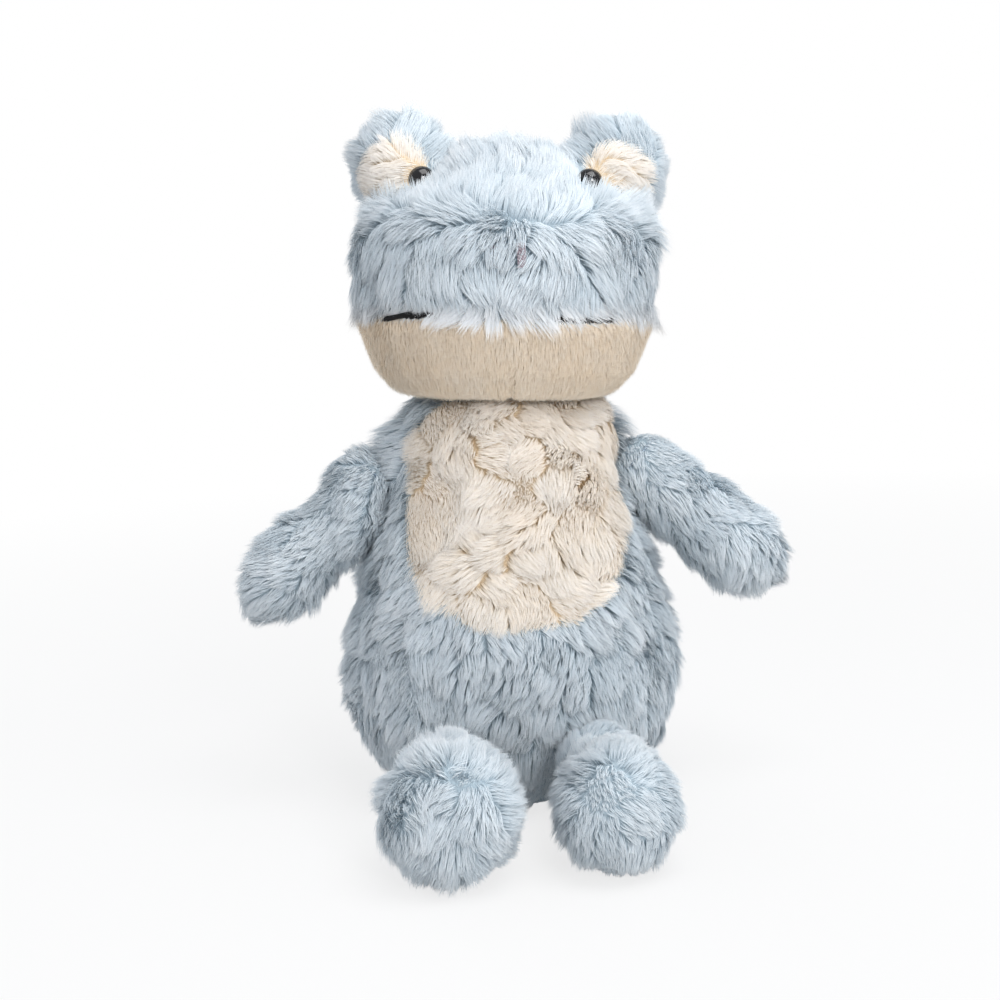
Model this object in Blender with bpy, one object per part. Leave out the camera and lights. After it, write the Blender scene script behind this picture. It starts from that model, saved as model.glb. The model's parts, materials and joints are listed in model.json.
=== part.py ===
"""A sitting plush frog, as fur covers over stuffing with sewn neck, shoulders and hips.

All sizes are in metres. The origin is the middle of the flat seat, +Z is up, the frog
faces -Y, and its own left side is at +X. Each cover is pile and backing together, so its
outer face is the tips of the combed fur.
"""

import math

import bmesh
import bpy
from mathutils import Vector

# Cloth, thread and fits
COVER_THICKNESS = 0.006
LIMB_COVER_THICKNESS = 0.005
BUMP_COVER_THICKNESS = 0.005
THREAD_RADIUS = 0.0005
FIT_GAP = 0.0003
CUT_OVERRUN = 0.020

# Body, a pear from the seat to the ball of the neck
BODY_HALF_WIDTH = 0.061
BODY_FRONT = 0.051
BODY_BACK = 0.0485
NECK_HEIGHT = 0.112
NECK_BALL_RADIUS = 0.042
BODY_SIDES = 20
BODY_RING_SHARES = (
    # height, half width, front, back
    (0.000, 0.500, 0.588, 0.577),
    (0.027, 0.667, 0.725, 0.742),
    (0.080, 0.817, 0.843, 0.866),
    (0.170, 0.925, 0.931, 0.948),
    (0.295, 0.992, 0.980, 0.990),
    (0.420, 1.000, 1.000, 1.000),
    (0.545, 0.967, 0.980, 0.979),
    (0.680, 0.892, 0.931, 0.938),
    (0.812, 0.800, 0.873, 0.897),
)
NECK_RING_ANGLES = (12.0, 26.0, 42.0, 60.0)

# Belly panel, pellet bag and the closing seam in the back
BELLY_HEIGHT = 0.104
BELLY_HALF_HEIGHT = 0.038
BELLY_HALF_WIDTH = 0.034
BELLY_SQUARENESS = 3.0
BELLY_SIDES = 28
PELLET_FILL_HEIGHT = 0.030
CLOSING_SEAM_HEIGHT = 0.078
CLOSING_SEAM_LENGTH = 0.040
CLOSING_SEAM_WIDTH = 0.0032
CLOSING_SEAM_DEPTH = 0.003

# Head, in its own frame: the origin is the middle of the neck ball, turned by the tilt
HEAD_TILT = math.radians(3.0)
HEAD_HALF_WIDTH = 0.0535
HEAD_FRONT = 0.047
HEAD_BACK = 0.042
HEAD_TOP = 0.113
HEAD_FORWARD = 0.004
HEAD_SIDES = 20
HEAD_RING_SHARES = (
    # height, half width, front, back
    (0.210, 0.556, 0.553, 0.619),
    (0.253, 0.735, 0.745, 0.786),
    (0.314, 0.845, 0.862, 0.881),
    (0.384, 0.905, 0.926, 0.940),
    (0.445, 0.940, 0.947, 0.976),
    (0.478, 0.978, 0.989, 0.988),
    (0.559, 1.000, 1.000, 1.000),
    (0.660, 1.000, 0.968, 1.000),
    (0.748, 0.975, 0.880, 0.962),
    (0.805, 0.850, 0.765, 0.880),
    (0.845, 0.640, 0.600, 0.760),
    (0.890, 0.535, 0.490, 0.640),
    (0.935, 0.445, 0.400, 0.520),
    (0.975, 0.300, 0.270, 0.360),
)

# Mouth: a slot between the muzzle and the jaw, with a line of thread in it
MOUTH_HEIGHT_SHARE = 0.462
MOUTH_LINE_RADIUS = 0.0008
MOUTH_LINE_SINK = 0.0035
MOUTH_LINE_REACH = 75.0
MOUTH_LINE_POINTS = 21
JAW_REAR = 0.008

# Nostrils, two upright bars of stitches between the tufts of the muzzle
NOSTRIL_SPACING = 0.0078
NOSTRIL_WIDTH = 0.0014
NOSTRIL_LENGTH = 0.0042
NOSTRIL_SINK = 0.003
NOSTRIL_HEIGHT_SHARE = 0.652
NOSTRIL_SIDES = 8

# Eye bumps, on the shoulders of the head, with a pale patch in front
BUMP_HALF_WIDTH = 0.019
BUMP_HALF_DEPTH = 0.018
BUMP_HALF_HEIGHT = 0.020
BUMP_SIDES = 16
BUMP_BANDS = 8
BUMP_SIDE_SHARE = 0.682
BUMP_REAR_SHARE = 0.048
BUMP_HEIGHT_SHARE = 0.900
PATCH_RADIUS = 0.014
PATCH_SIDES = 20
PATCH_SIDE_SHARE = 0.08
PATCH_HEIGHT_SHARE = -0.15

# Safety eyes: a dome on a shank, held by a washer behind the cloth
EYE_RADIUS = 0.0045
EYE_DOME = 0.0036
EYE_RIM = 0.0005
EYE_SINK = 0.003
EYE_TOE_IN = math.radians(12.0)
EYE_SIDE_SHARE = -0.437
EYE_HEIGHT_SHARE = -0.21
EYE_POCKET_MARGIN = 0.0005
EYE_SIDES = 16
EYE_DOME_ANGLES = (22.0, 45.0, 68.0)
SHANK_RADIUS = 0.0016
SHANK_LENGTH = 0.0072
SHANK_TAIL = 0.0008
WASHER_RADIUS = 0.0035
WASHER_THICKNESS = 0.0012
WASHER_SETBACK = 0.0050

# Neck, shoulders and hips turn as balls in sockets, with a ring of thread between
BALL_ROOT_ANGLES = (40.0, 60.0, 85.0)
RING_SIDES = 20
THREAD_SIDES = 5
SOCKET_SIDES = 20
SOCKET_BANDS = 10
NECK_SEAM_RADIUS = 0.034
LIMB_SEAM_SETBACK_SHARE = 0.36
LIMB_SIDES = 16

# Arms, from the shoulder ball to the round hand
ARM_BALL_RADIUS = 0.0105
ARM_LENGTH = 0.062
ARM_RADIUS = 0.0165
ARM_HEIGHT = 0.111
ARM_FORWARD = 0.002
ARM_STANDOFF = 0.0045
ARM_DROOP = math.radians(43.0)
ARM_SWEEP = math.radians(12.0)
ARM_NECK_SHARES = (0.170, 0.550)
ARM_PROFILE_SHARES = (
    # along the arm, radius
    (0.265, 0.690),
    (0.370, 0.845),
    (0.500, 0.970),
    (0.645, 1.000),
    (0.775, 0.935),
    (0.885, 0.730),
    (0.965, 0.420),
)

# Legs, from the hip ball to the round foot
LEG_BALL_RADIUS = 0.009
LEG_LENGTH = 0.0655
LEG_RADIUS = 0.0223
LEG_SPREAD = 0.024
LEG_STANDOFF = 0.003
LEG_SOLE_DEPTH = 0.0005
LEG_NECK_SHARES = (0.153, 0.444)
LEG_PROFILE_SHARES = (
    # along the leg, radius
    (0.260, 0.660),
    (0.400, 0.830),
    (0.560, 0.955),
    (0.700, 1.000),
    (0.820, 0.940),
    (0.915, 0.750),
    (0.975, 0.440),
)

# Worked out from the sizes above
THREAD_SPACE = 2.0 * (THREAD_RADIUS + FIT_GAP)
MOUTH_HEIGHT = MOUTH_HEIGHT_SHARE * HEAD_TOP
MOUTH_SLOT = 2.0 * (MOUTH_LINE_RADIUS + FIT_GAP)
HALF_MOUTH_SLOT = 0.5 * MOUTH_SLOT
LEG_HEIGHT = LEG_RADIUS - LEG_SOLE_DEPTH
EYE_POCKET_RADIUS = EYE_RADIUS + EYE_POCKET_MARGIN
BUMP_RADII = Vector((BUMP_HALF_WIDTH, BUMP_HALF_DEPTH, BUMP_HALF_HEIGHT))


def finish(name, colour, roughness, coat=0.0):
    """A material with one plain finish."""
    material = bpy.data.materials.new(name)
    material.use_nodes = True
    shader = material.node_tree.nodes["Principled BSDF"]
    shader.inputs["Base Color"].default_value = (*colour, 1.0)
    shader.inputs["Roughness"].default_value = roughness
    shader.inputs["Metallic"].default_value = 0.0
    shader.inputs["Coat Weight"].default_value = coat
    material.diffuse_color = (*colour, 1.0)
    return material


def frame(name, place, turn=(0.0, 0.0, 0.0)):
    """An empty that carries pieces in their own frame."""
    empty = bpy.data.objects.new(name, None)
    empty.location = place
    empty.rotation_euler = turn
    bpy.context.scene.collection.objects.link(empty)
    return empty


def piece(name, shape, material, carrier=None):
    """An object from vertices and faces, smooth where its faces nearly line up."""
    vertices, faces = shape
    mesh = bpy.data.meshes.new(name)
    mesh.from_pydata([tuple(vertex) for vertex in vertices], [], faces)
    mesh.validate()
    mesh.shade_smooth()
    mesh.set_sharp_from_angle(angle=math.radians(40.0))
    if material is not None:
        mesh.materials.append(material)
    thing = bpy.data.objects.new(name, mesh)
    thing.parent = carrier
    bpy.context.scene.collection.objects.link(thing)
    return thing


def cutter(name, shape, carrier=None):
    """A piece that only cuts others."""
    thing = piece(name, shape, None, carrier)
    thing.hide_render = True
    thing.display_type = "WIRE"
    return thing


def shape_with(thing, tool, operation):
    """Cut a piece with a tool, or keep only what lies inside the tool."""
    step = thing.modifiers.new(f"{operation.lower()}_{tool.name}", "BOOLEAN")
    step.operation = operation
    step.solver = "EXACT"
    step.object = tool


def cut(thing, *tools):
    """Take each tool's space out of a piece."""
    for tool in tools:
        shape_with(thing, tool, "DIFFERENCE")


def keep(thing, tool):
    """Keep the part of a piece that lies inside a tool."""
    shape_with(thing, tool, "INTERSECT")


def skin(rings, low_pole, high_pole):
    """A closed skin of triangles through equal rings, with a point at each end."""
    sides = len(rings[0])
    vertices = [low_pole]
    for ring in rings:
        vertices.extend(ring)
    vertices.append(high_pole)
    top = len(vertices) - 1
    last = top - sides
    faces = []
    for step in range(sides):
        after = (step + 1) % sides
        faces.append((0, 1 + after, 1 + step))
        faces.append((top, last + step, last + after))
        for level in range(len(rings) - 1):
            lower = 1 + level * sides
            upper = lower + sides
            faces.append((lower + step, lower + after, upper + after))
            faces.append((lower + step, upper + after, upper + step))
    return vertices, faces


def round_ring(radius, height, sides):
    """Points of a level circle round the Z axis."""
    turns = [2.0 * math.pi * step / sides for step in range(sides)]
    return [Vector((radius * math.cos(a), radius * math.sin(a), height)) for a in turns]


def turned(profile, sides):
    """A solid turned round Z from (height, radius) points that start and end on the axis."""
    rings = [round_ring(radius, height, sides) for height, radius in profile[1:-1]]
    low_pole = Vector((0.0, 0.0, profile[0][0]))
    high_pole = Vector((0.0, 0.0, profile[-1][0]))
    return skin(rings, low_pole, high_pole)


def turned_ring(profile, sides):
    """A ring turned round Z from a closed loop of (height, radius) points."""
    vertices = []
    for height, radius in profile:
        vertices.extend(round_ring(radius, height, sides))
    faces = []
    for row in range(len(profile)):
        lower = row * sides
        upper = (row + 1) % len(profile) * sides
        for step in range(sides):
            after = (step + 1) % sides
            faces.append((lower + step, lower + after, upper + after, upper + step))
    return vertices, faces


def thread_ring(radius, height):
    """A ring of thread round Z."""
    turns = [2.0 * math.pi * step / THREAD_SIDES for step in range(THREAD_SIDES)]
    loop = [
        (height + THREAD_RADIUS * math.sin(a), radius + THREAD_RADIUS * math.cos(a))
        for a in turns
    ]
    return turned_ring(loop, RING_SIDES)


def oval_ring(height, half_width, front, back, middle, sides):
    """Points of a level oval that is deeper in front than behind."""
    points = []
    for step in range(sides):
        angle = 2.0 * math.pi * step / sides
        depth = back if math.sin(angle) > 0.0 else front
        x = half_width * math.cos(angle)
        y = middle + depth * math.sin(angle)
        points.append(Vector((x, y, height)))
    return points


def prism(outline, front, rear):
    """A solid from an (x, z) outline, drawn from the front plane to the rear plane."""
    count = len(outline)
    vertices = [Vector((x, front, z)) for x, z in outline]
    vertices += [Vector((x, rear, z)) for x, z in outline]
    faces = [tuple(range(count)), tuple(reversed(range(count, 2 * count)))]
    for step in range(count):
        after = (step + 1) % count
        faces.append((step, count + step, count + after, after))
    return vertices, faces


def oval_outline(middle, half_width, half_height, squareness, sides):
    """Points of an oval in x and z, seen from the front, fuller as squareness grows."""
    points = []
    for step in range(sides):
        angle = 2.0 * math.pi * step / sides
        across = math.cos(angle)
        up = math.sin(angle)
        x = math.copysign(abs(across) ** (2.0 / squareness), across)
        z = math.copysign(abs(up) ** (2.0 / squareness), up)
        points.append((middle[0] + half_width * x, middle[1] + half_height * z))
    return points


def block(low, high):
    """A box between two corners."""
    outline = [(low.x, low.z), (high.x, low.z), (high.x, high.z), (low.x, high.z)]
    return prism(outline, low.y, high.y)


def inset(shape, distance):
    """The same skin, moved in by a distance all over."""
    vertices, faces = shape
    work = bmesh.new()
    for vertex in vertices:
        work.verts.new(vertex)
    work.verts.ensure_lookup_table()
    for face in faces:
        work.faces.new([work.verts[index] for index in face])
    work.normal_update()
    moved = [
        vertex.co - vertex.normal * distance * vertex.calc_shell_factor()
        for vertex in work.verts
    ]
    work.free()
    return moved, faces


def shell(shape, outside, inside):
    """A hollow shell between two depths of one skin."""
    outer, faces = inset(shape, outside)
    inner, _ = inset(shape, inside)
    offset = len(outer)
    lining = [tuple(offset + index for index in reversed(face)) for face in faces]
    return outer + inner, faces + lining


def ball(radii, middle, sides, bands):
    """An egg or ball of given half sizes."""
    rings = []
    for band in range(1, bands):
        latitude = math.pi * (band / bands - 0.5)
        height = middle.z + radii.z * math.sin(latitude)
        wide = radii.x * math.cos(latitude)
        deep = radii.y * math.cos(latitude)
        rings.append(oval_ring(height, wide, deep, deep, middle.y, sides))
    for ring in rings:
        for point in ring:
            point.x += middle.x
    drop = Vector((0.0, 0.0, radii.z))
    return skin(rings, middle - drop, middle + drop)


def socket(radius):
    """A ball whose flat faces all stay outside a radius, so that a joint turns freely."""
    half_side = math.pi / SOCKET_SIDES
    half_band = math.pi / (2.0 * SOCKET_BANDS)
    reach = radius / (math.cos(half_side) * math.cos(half_band))
    radii = Vector((reach, reach, reach))
    return ball(radii, Vector((0.0, 0.0, 0.0)), SOCKET_SIDES, SOCKET_BANDS)


def between(shares, height_share):
    """The half width, front and back shares of a table at a height."""
    for low, high in zip(shares, shares[1:]):
        if low[0] <= height_share <= high[0]:
            part = (height_share - low[0]) / (high[0] - low[0])
            return [a + part * (b - a) for a, b in zip(low[1:], high[1:])]
    nearest = shares[0] if height_share < shares[0][0] else shares[-1]
    return list(nearest[1:])


def body_skin():
    """The outside of the body, with the upper part of the neck ball on top."""
    rings = []
    for height, width, front, back in BODY_RING_SHARES:
        rings.append(
            oval_ring(
                height * NECK_HEIGHT,
                width * BODY_HALF_WIDTH,
                front * BODY_FRONT,
                back * BODY_BACK,
                0.0,
                BODY_SIDES,
            )
        )
    for angle in NECK_RING_ANGLES:
        radius = NECK_BALL_RADIUS * math.cos(math.radians(angle))
        height = NECK_HEIGHT + NECK_BALL_RADIUS * math.sin(math.radians(angle))
        rings.append(round_ring(radius, height, BODY_SIDES))
    top = Vector((0.0, 0.0, NECK_HEIGHT + NECK_BALL_RADIUS))
    return skin(rings, Vector((0.0, 0.0, 0.0)), top)


def body_reach(height):
    """The half width and the front depth of the body at a height."""
    sides = list(BODY_RING_SHARES)
    edge = math.radians(NECK_RING_ANGLES[0])
    rim = NECK_BALL_RADIUS * math.cos(edge)
    rim_height = NECK_HEIGHT + NECK_BALL_RADIUS * math.sin(edge)
    rim_shares = (rim / BODY_HALF_WIDTH, rim / BODY_FRONT, rim / BODY_BACK)
    sides.append((rim_height / NECK_HEIGHT, *rim_shares))
    width, front, _ = between(sides, height / NECK_HEIGHT)
    return width * BODY_HALF_WIDTH, front * BODY_FRONT


def head_skin():
    """The outside of the head without its eye bumps."""
    rings = []
    for height, width, front, back in HEAD_RING_SHARES:
        rings.append(
            oval_ring(
                height * HEAD_TOP,
                width * HEAD_HALF_WIDTH,
                front * HEAD_FRONT,
                back * HEAD_BACK,
                -HEAD_FORWARD,
                HEAD_SIDES,
            )
        )
    low_pole = Vector((0.0, -HEAD_FORWARD, HEAD_RING_SHARES[0][0] * HEAD_TOP))
    return skin(rings, low_pole, Vector((0.0, -HEAD_FORWARD, HEAD_TOP)))


def head_reach(height):
    """The half width and the front depth of the head at a height."""
    width, front, _ = between(HEAD_RING_SHARES, height / HEAD_TOP)
    return width * HEAD_HALF_WIDTH, front * HEAD_FRONT


def below(height):
    """A block that takes in everything under a height, however large the toy."""
    reach = BODY_HALF_WIDTH + BODY_FRONT + LEG_LENGTH + CUT_OVERRUN
    return block(Vector((-reach, -reach, -CUT_OVERRUN)), Vector((reach, reach, height)))


def build_body(finishes, sockets):
    """Body cover, belly panel, stuffing, pellet bag and closing seam."""
    outside = body_skin()
    wall = shell(outside, 0.0, COVER_THICKNESS)
    filling = inset(outside, COVER_THICKNESS + FIT_GAP)

    panel_front = -BODY_FRONT - CUT_OVERRUN
    panel_rear = -COVER_THICKNESS
    panel_middle = (0.0, BELLY_HEIGHT)
    panel_outline = oval_outline(
        panel_middle, BELLY_HALF_WIDTH, BELLY_HALF_HEIGHT, BELLY_SQUARENESS, BELLY_SIDES
    )
    hole_outline = oval_outline(
        panel_middle,
        BELLY_HALF_WIDTH + FIT_GAP,
        BELLY_HALF_HEIGHT + FIT_GAP,
        BELLY_SQUARENESS,
        BELLY_SIDES,
    )
    panel_tool = cutter("belly_panel_outline", prism(panel_outline, panel_front, panel_rear))
    hole_tool = cutter(
        "belly_hole_outline", prism(hole_outline, panel_front, panel_rear + FIT_GAP)
    )

    half_slot = 0.5 * CLOSING_SEAM_WIDTH
    half_seam = half_slot - FIT_GAP
    half_length = 0.5 * CLOSING_SEAM_LENGTH
    slot_low = Vector((-half_slot, 0.0, CLOSING_SEAM_HEIGHT - half_length - FIT_GAP))
    slot_high = Vector(
        (half_slot, BODY_BACK + CUT_OVERRUN, CLOSING_SEAM_HEIGHT + half_length + FIT_GAP)
    )
    seam_low = Vector((-half_seam, 0.0, CLOSING_SEAM_HEIGHT - half_length))
    seam_high = Vector(
        (half_seam, BODY_BACK + CUT_OVERRUN, CLOSING_SEAM_HEIGHT + half_length)
    )
    slot_tool = cutter("closing_slot", block(slot_low, slot_high))
    seam_tool = cutter("closing_seam_outline", block(seam_low, seam_high))

    cover = piece("body_cover", wall, finishes["plush_blue"])
    cut(cover, hole_tool, slot_tool, *sockets)

    panel = piece("belly_panel", wall, finishes["plush_cream"])
    keep(panel, panel_tool)

    seam_depths = (COVER_THICKNESS - CLOSING_SEAM_DEPTH, COVER_THICKNESS)
    seam = piece("closing_seam", shell(outside, *seam_depths), finishes["thread"])
    keep(seam, seam_tool)

    fibre = piece("body_stuffing", filling, finishes["stuffing"])
    cut(fibre, cutter("pellet_space", below(PELLET_FILL_HEIGHT + FIT_GAP)), *sockets)

    pellets = piece("pellet_bag", filling, finishes["pellets"])
    keep(pellets, cutter("pellet_level", below(PELLET_FILL_HEIGHT)))
    cut(pellets, *sockets)


def build_head(finishes, carrier):
    """Head cover, jaw panel, stuffing, mouth line, nostrils, eye bumps and eyes."""
    outside = head_skin()
    wall = shell(outside, 0.0, COVER_THICKNESS)
    neck_tool = cutter("neck_socket", socket(NECK_BALL_RADIUS + THREAD_SPACE), carrier)

    side = HEAD_HALF_WIDTH + CUT_OVERRUN
    front = -HEAD_FORWARD - HEAD_FRONT - CUT_OVERRUN
    jaw_top = MOUTH_HEIGHT - HALF_MOUTH_SLOT
    jaw_block = block(Vector((-side, front, 0.0)), Vector((side, JAW_REAR, jaw_top)))
    jaw_space = block(
        Vector((-side, front, 0.0)),
        Vector((side, JAW_REAR + FIT_GAP, MOUTH_HEIGHT + HALF_MOUTH_SLOT)),
    )
    jaw_tool = cutter("jaw_outline", jaw_block, carrier)
    space_tool = cutter("jaw_space", jaw_space, carrier)

    cover = piece("head_cover", wall, finishes["plush_blue"], carrier)
    cut(cover, neck_tool, space_tool)

    jaw = piece("jaw_panel", wall, finishes["plush_cream"], carrier)
    keep(jaw, jaw_tool)
    cut(jaw, neck_tool)

    filling = inset(outside, COVER_THICKNESS + FIT_GAP)
    fibre = piece("head_stuffing", filling, finishes["stuffing"], carrier)
    cut(fibre, neck_tool)

    build_mouth_line(finishes, carrier)
    for name, sign in (("left", 1.0), ("right", -1.0)):
        build_nostril(name, sign, cover, finishes, carrier)
        build_eye_bump(name, sign, cover, fibre, outside, finishes, carrier)


def build_mouth_line(finishes, carrier):
    """One line of dark thread that follows the muzzle inside the mouth slot."""
    width, front = head_reach(MOUTH_HEIGHT)
    curve = bpy.data.curves.new("mouth_line", "CURVE")
    curve.dimensions = "3D"
    curve.bevel_depth = MOUTH_LINE_RADIUS
    curve.bevel_resolution = 1
    curve.use_fill_caps = True
    spline = curve.splines.new("POLY")
    spline.points.add(MOUTH_LINE_POINTS - 1)
    for index, point in enumerate(spline.points):
        part = 2.0 * index / (MOUTH_LINE_POINTS - 1) - 1.0
        angle = math.radians(MOUTH_LINE_REACH * part)
        x = (width - MOUTH_LINE_SINK) * math.sin(angle)
        y = -HEAD_FORWARD - (front - MOUTH_LINE_SINK) * math.cos(angle)
        point.co = (x, y, MOUTH_HEIGHT, 1.0)
    curve.materials.append(finishes["mouth_thread"])
    line = bpy.data.objects.new("mouth_line", curve)
    line.parent = carrier
    bpy.context.scene.collection.objects.link(line)


def build_nostril(name, sign, cover, finishes, carrier):
    """A bar of stitches at the bottom of its own parting in the pile."""
    height = NOSTRIL_HEIGHT_SHARE * HEAD_TOP
    x = 0.5 * sign * NOSTRIL_SPACING
    width, front = head_reach(height)
    surface = -HEAD_FORWARD - front * math.sqrt(1.0 - (x / width) ** 2)
    half_width = 0.5 * NOSTRIL_WIDTH
    half_length = 0.5 * NOSTRIL_LENGTH
    middle = Vector((x, surface + NOSTRIL_SINK + half_width, height))
    radii = Vector((half_width, half_width, half_length))
    bar = ball(radii, middle, NOSTRIL_SIDES, NOSTRIL_SIDES)
    piece(f"nostril_{name}", bar, finishes["nose_thread"], carrier)
    outline = oval_outline(
        (x, height), half_width + FIT_GAP, half_length + FIT_GAP, 2.0, NOSTRIL_SIDES
    )
    rear = middle.y + half_width + FIT_GAP
    parting = prism(outline, surface - CUT_OVERRUN, rear)
    cut(cover, cutter(f"nostril_parting_{name}", parting, carrier))


def build_eye_bump(name, sign, head_cover, head_fibre, head_outside, finishes, carrier):
    """Bump cover, pale patch, stuffing, safety eye and washer of one side."""
    middle = Vector(
        (
            sign * BUMP_SIDE_SHARE * HEAD_HALF_WIDTH,
            BUMP_REAR_SHARE * HEAD_BACK,
            BUMP_HEIGHT_SHARE * HEAD_TOP,
        )
    )
    egg = ball(BUMP_RADII, middle, BUMP_SIDES, BUMP_BANDS)
    wall = shell(egg, 0.0, BUMP_COVER_THICKNESS)
    head_tool = cutter(f"head_under_bump_{name}", inset(head_outside, -FIT_GAP), carrier)

    patch_middle = (
        middle.x + sign * PATCH_SIDE_SHARE * BUMP_HALF_WIDTH,
        middle.z + PATCH_HEIGHT_SHARE * BUMP_HALF_HEIGHT,
    )
    front = middle.y - BUMP_HALF_DEPTH - CUT_OVERRUN
    hole_radius = PATCH_RADIUS + FIT_GAP
    patch_outline = oval_outline(patch_middle, PATCH_RADIUS, PATCH_RADIUS, 2.0, PATCH_SIDES)
    hole_outline = oval_outline(patch_middle, hole_radius, hole_radius, 2.0, PATCH_SIDES)
    patch_tool = cutter(
        f"eye_patch_outline_{name}", prism(patch_outline, front, middle.y), carrier
    )
    hole_tool = cutter(
        f"eye_patch_hole_{name}", prism(hole_outline, front, middle.y + FIT_GAP), carrier
    )

    across = EYE_SIDE_SHARE
    up = EYE_HEIGHT_SHARE
    outward = math.sqrt(1.0 - across ** 2 - up ** 2)
    on_bump = middle + Vector(
        (sign * across * BUMP_HALF_WIDTH, -outward * BUMP_HALF_DEPTH, up * BUMP_HALF_HEIGHT)
    )
    aim = Vector((-sign * math.sin(EYE_TOE_IN), -math.cos(EYE_TOE_IN), 0.0))
    eye_frame = frame(
        f"eye_frame_{name}",
        on_bump - aim * EYE_SINK,
        (0.5 * math.pi, 0.0, -sign * EYE_TOE_IN),
    )
    eye_frame.parent = carrier

    pocket_depth = SHANK_LENGTH + FIT_GAP
    shank_hole = SHANK_RADIUS + FIT_GAP
    pocket = turned(
        [
            (-pocket_depth, 0.0),
            (-pocket_depth, shank_hole),
            (-FIT_GAP, shank_hole),
            (-FIT_GAP, EYE_POCKET_RADIUS),
            (CUT_OVERRUN, EYE_POCKET_RADIUS),
            (CUT_OVERRUN, 0.0),
        ],
        EYE_SIDES,
    )
    washer_hole = WASHER_RADIUS + FIT_GAP
    washer_front = -WASHER_SETBACK
    washer_rear = washer_front - WASHER_THICKNESS
    room = turned(
        [
            (-pocket_depth, 0.0),
            (-pocket_depth, washer_hole),
            (-FIT_GAP, washer_hole),
            (-FIT_GAP, EYE_POCKET_RADIUS),
            (CUT_OVERRUN, EYE_POCKET_RADIUS),
            (CUT_OVERRUN, 0.0),
        ],
        EYE_SIDES,
    )
    pocket_tool = cutter(f"eye_pocket_{name}", pocket, eye_frame)
    room_tool = cutter(f"eye_room_{name}", room, eye_frame)

    cover = piece(f"eye_bump_cover_{name}", wall, finishes["plush_blue"], carrier)
    cut(cover, head_tool, hole_tool, pocket_tool)

    patch = piece(f"eye_patch_{name}", wall, finishes["plush_cream"], carrier)
    keep(patch, patch_tool)
    cut(patch, head_tool, pocket_tool)

    filling = inset(egg, BUMP_COVER_THICKNESS + FIT_GAP)
    fibre = piece(f"eye_bump_stuffing_{name}", filling, finishes["stuffing"], carrier)
    cut(fibre, head_tool, room_tool)

    cut(head_cover, room_tool)
    cut(head_fibre, room_tool)

    piece(f"eye_{name}", eye_solid(), finishes["eye_black"], eye_frame)
    washer = turned_ring(
        [
            (washer_rear, SHANK_RADIUS + FIT_GAP),
            (washer_rear, WASHER_RADIUS),
            (washer_front, WASHER_RADIUS),
            (washer_front, SHANK_RADIUS + FIT_GAP),
        ],
        EYE_SIDES,
    )
    piece(f"eye_washer_{name}", washer, finishes["washer"], eye_frame)


def eye_solid():
    """A domed eye and its shank, turned round the eye's own axis."""
    profile = [
        (-SHANK_LENGTH, 0.0),
        (-SHANK_LENGTH, SHANK_RADIUS - SHANK_TAIL),
        (-SHANK_LENGTH + SHANK_TAIL, SHANK_RADIUS),
        (0.0, SHANK_RADIUS),
        (0.0, EYE_RADIUS),
        (EYE_RIM, EYE_RADIUS),
    ]
    for angle in EYE_DOME_ANGLES:
        rise = (EYE_DOME - EYE_RIM) * math.sin(math.radians(angle))
        radius = EYE_RADIUS * math.cos(math.radians(angle))
        profile.append((EYE_RIM + rise, radius))
    profile.append((EYE_DOME, 0.0))
    return turned(profile, EYE_SIDES)


def offset_profile(profile, distance):
    """The same (height, radius) profile, moved towards the axis and away from its tip."""
    moved = []
    for index, (height, radius) in enumerate(profile):
        before = profile[max(index - 1, 0)]
        after = profile[min(index + 1, len(profile) - 1)]
        along = Vector((after[0] - before[0], after[1] - before[1])).normalized()
        if radius == 0.0:
            moved.append((height - distance, 0.0))
        else:
            moved.append((height + distance * along.y, radius - distance * along.x))
    return moved


def limb_profile(ball_radius, opening, neck, length, radius, shares):
    """The outside of a limb: the sewn ball, the drawn-in neck and the swelling end."""
    profile = [(-math.sqrt(ball_radius ** 2 - opening ** 2), opening)]
    for angle in BALL_ROOT_ANGLES:
        turn = math.radians(angle)
        profile.append((-ball_radius * math.cos(turn), ball_radius * math.sin(turn)))
    profile.append((neck[0] * length, neck[1] * radius))
    for along, wide in shares:
        profile.append((along * length, wide * radius))
    profile.append((length, 0.0))
    return profile


def build_limb(name, sign, carrier, ball_radius, neck, length, radius, shares, finishes):
    """Cover, stuffing and seam ring of an arm or a leg, along Z of its own frame."""
    opening = ball_radius - LIMB_COVER_THICKNESS
    outside = limb_profile(ball_radius, opening, neck, length, radius, shares)
    root = outside[0][0]
    swelling = outside[len(BALL_ROOT_ANGLES) + 1:]
    lining = [(root, opening)] + offset_profile(swelling, LIMB_COVER_THICKNESS)
    wall = list(reversed(lining))[:-1] + outside
    cover = piece(f"{name}_cover_{sign}", turned(wall, LIMB_SIDES), finishes["plush_blue"])
    cover.parent = carrier

    packed = offset_profile(swelling, LIMB_COVER_THICKNESS + FIT_GAP)
    plug = [(root + FIT_GAP, 0.0), (root + FIT_GAP, opening - FIT_GAP)] + packed
    fibre = piece(f"{name}_stuffing_{sign}", turned(plug, LIMB_SIDES), finishes["stuffing"])
    fibre.parent = carrier

    setback = LIMB_SEAM_SETBACK_SHARE * ball_radius
    middle = ball_radius + 0.5 * THREAD_SPACE
    ring_radius = math.sqrt(middle ** 2 - setback ** 2)
    seam = piece(f"{name}_seam_{sign}", thread_ring(ring_radius, -setback), finishes["thread"])
    seam.parent = carrier
    return cover


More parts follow.
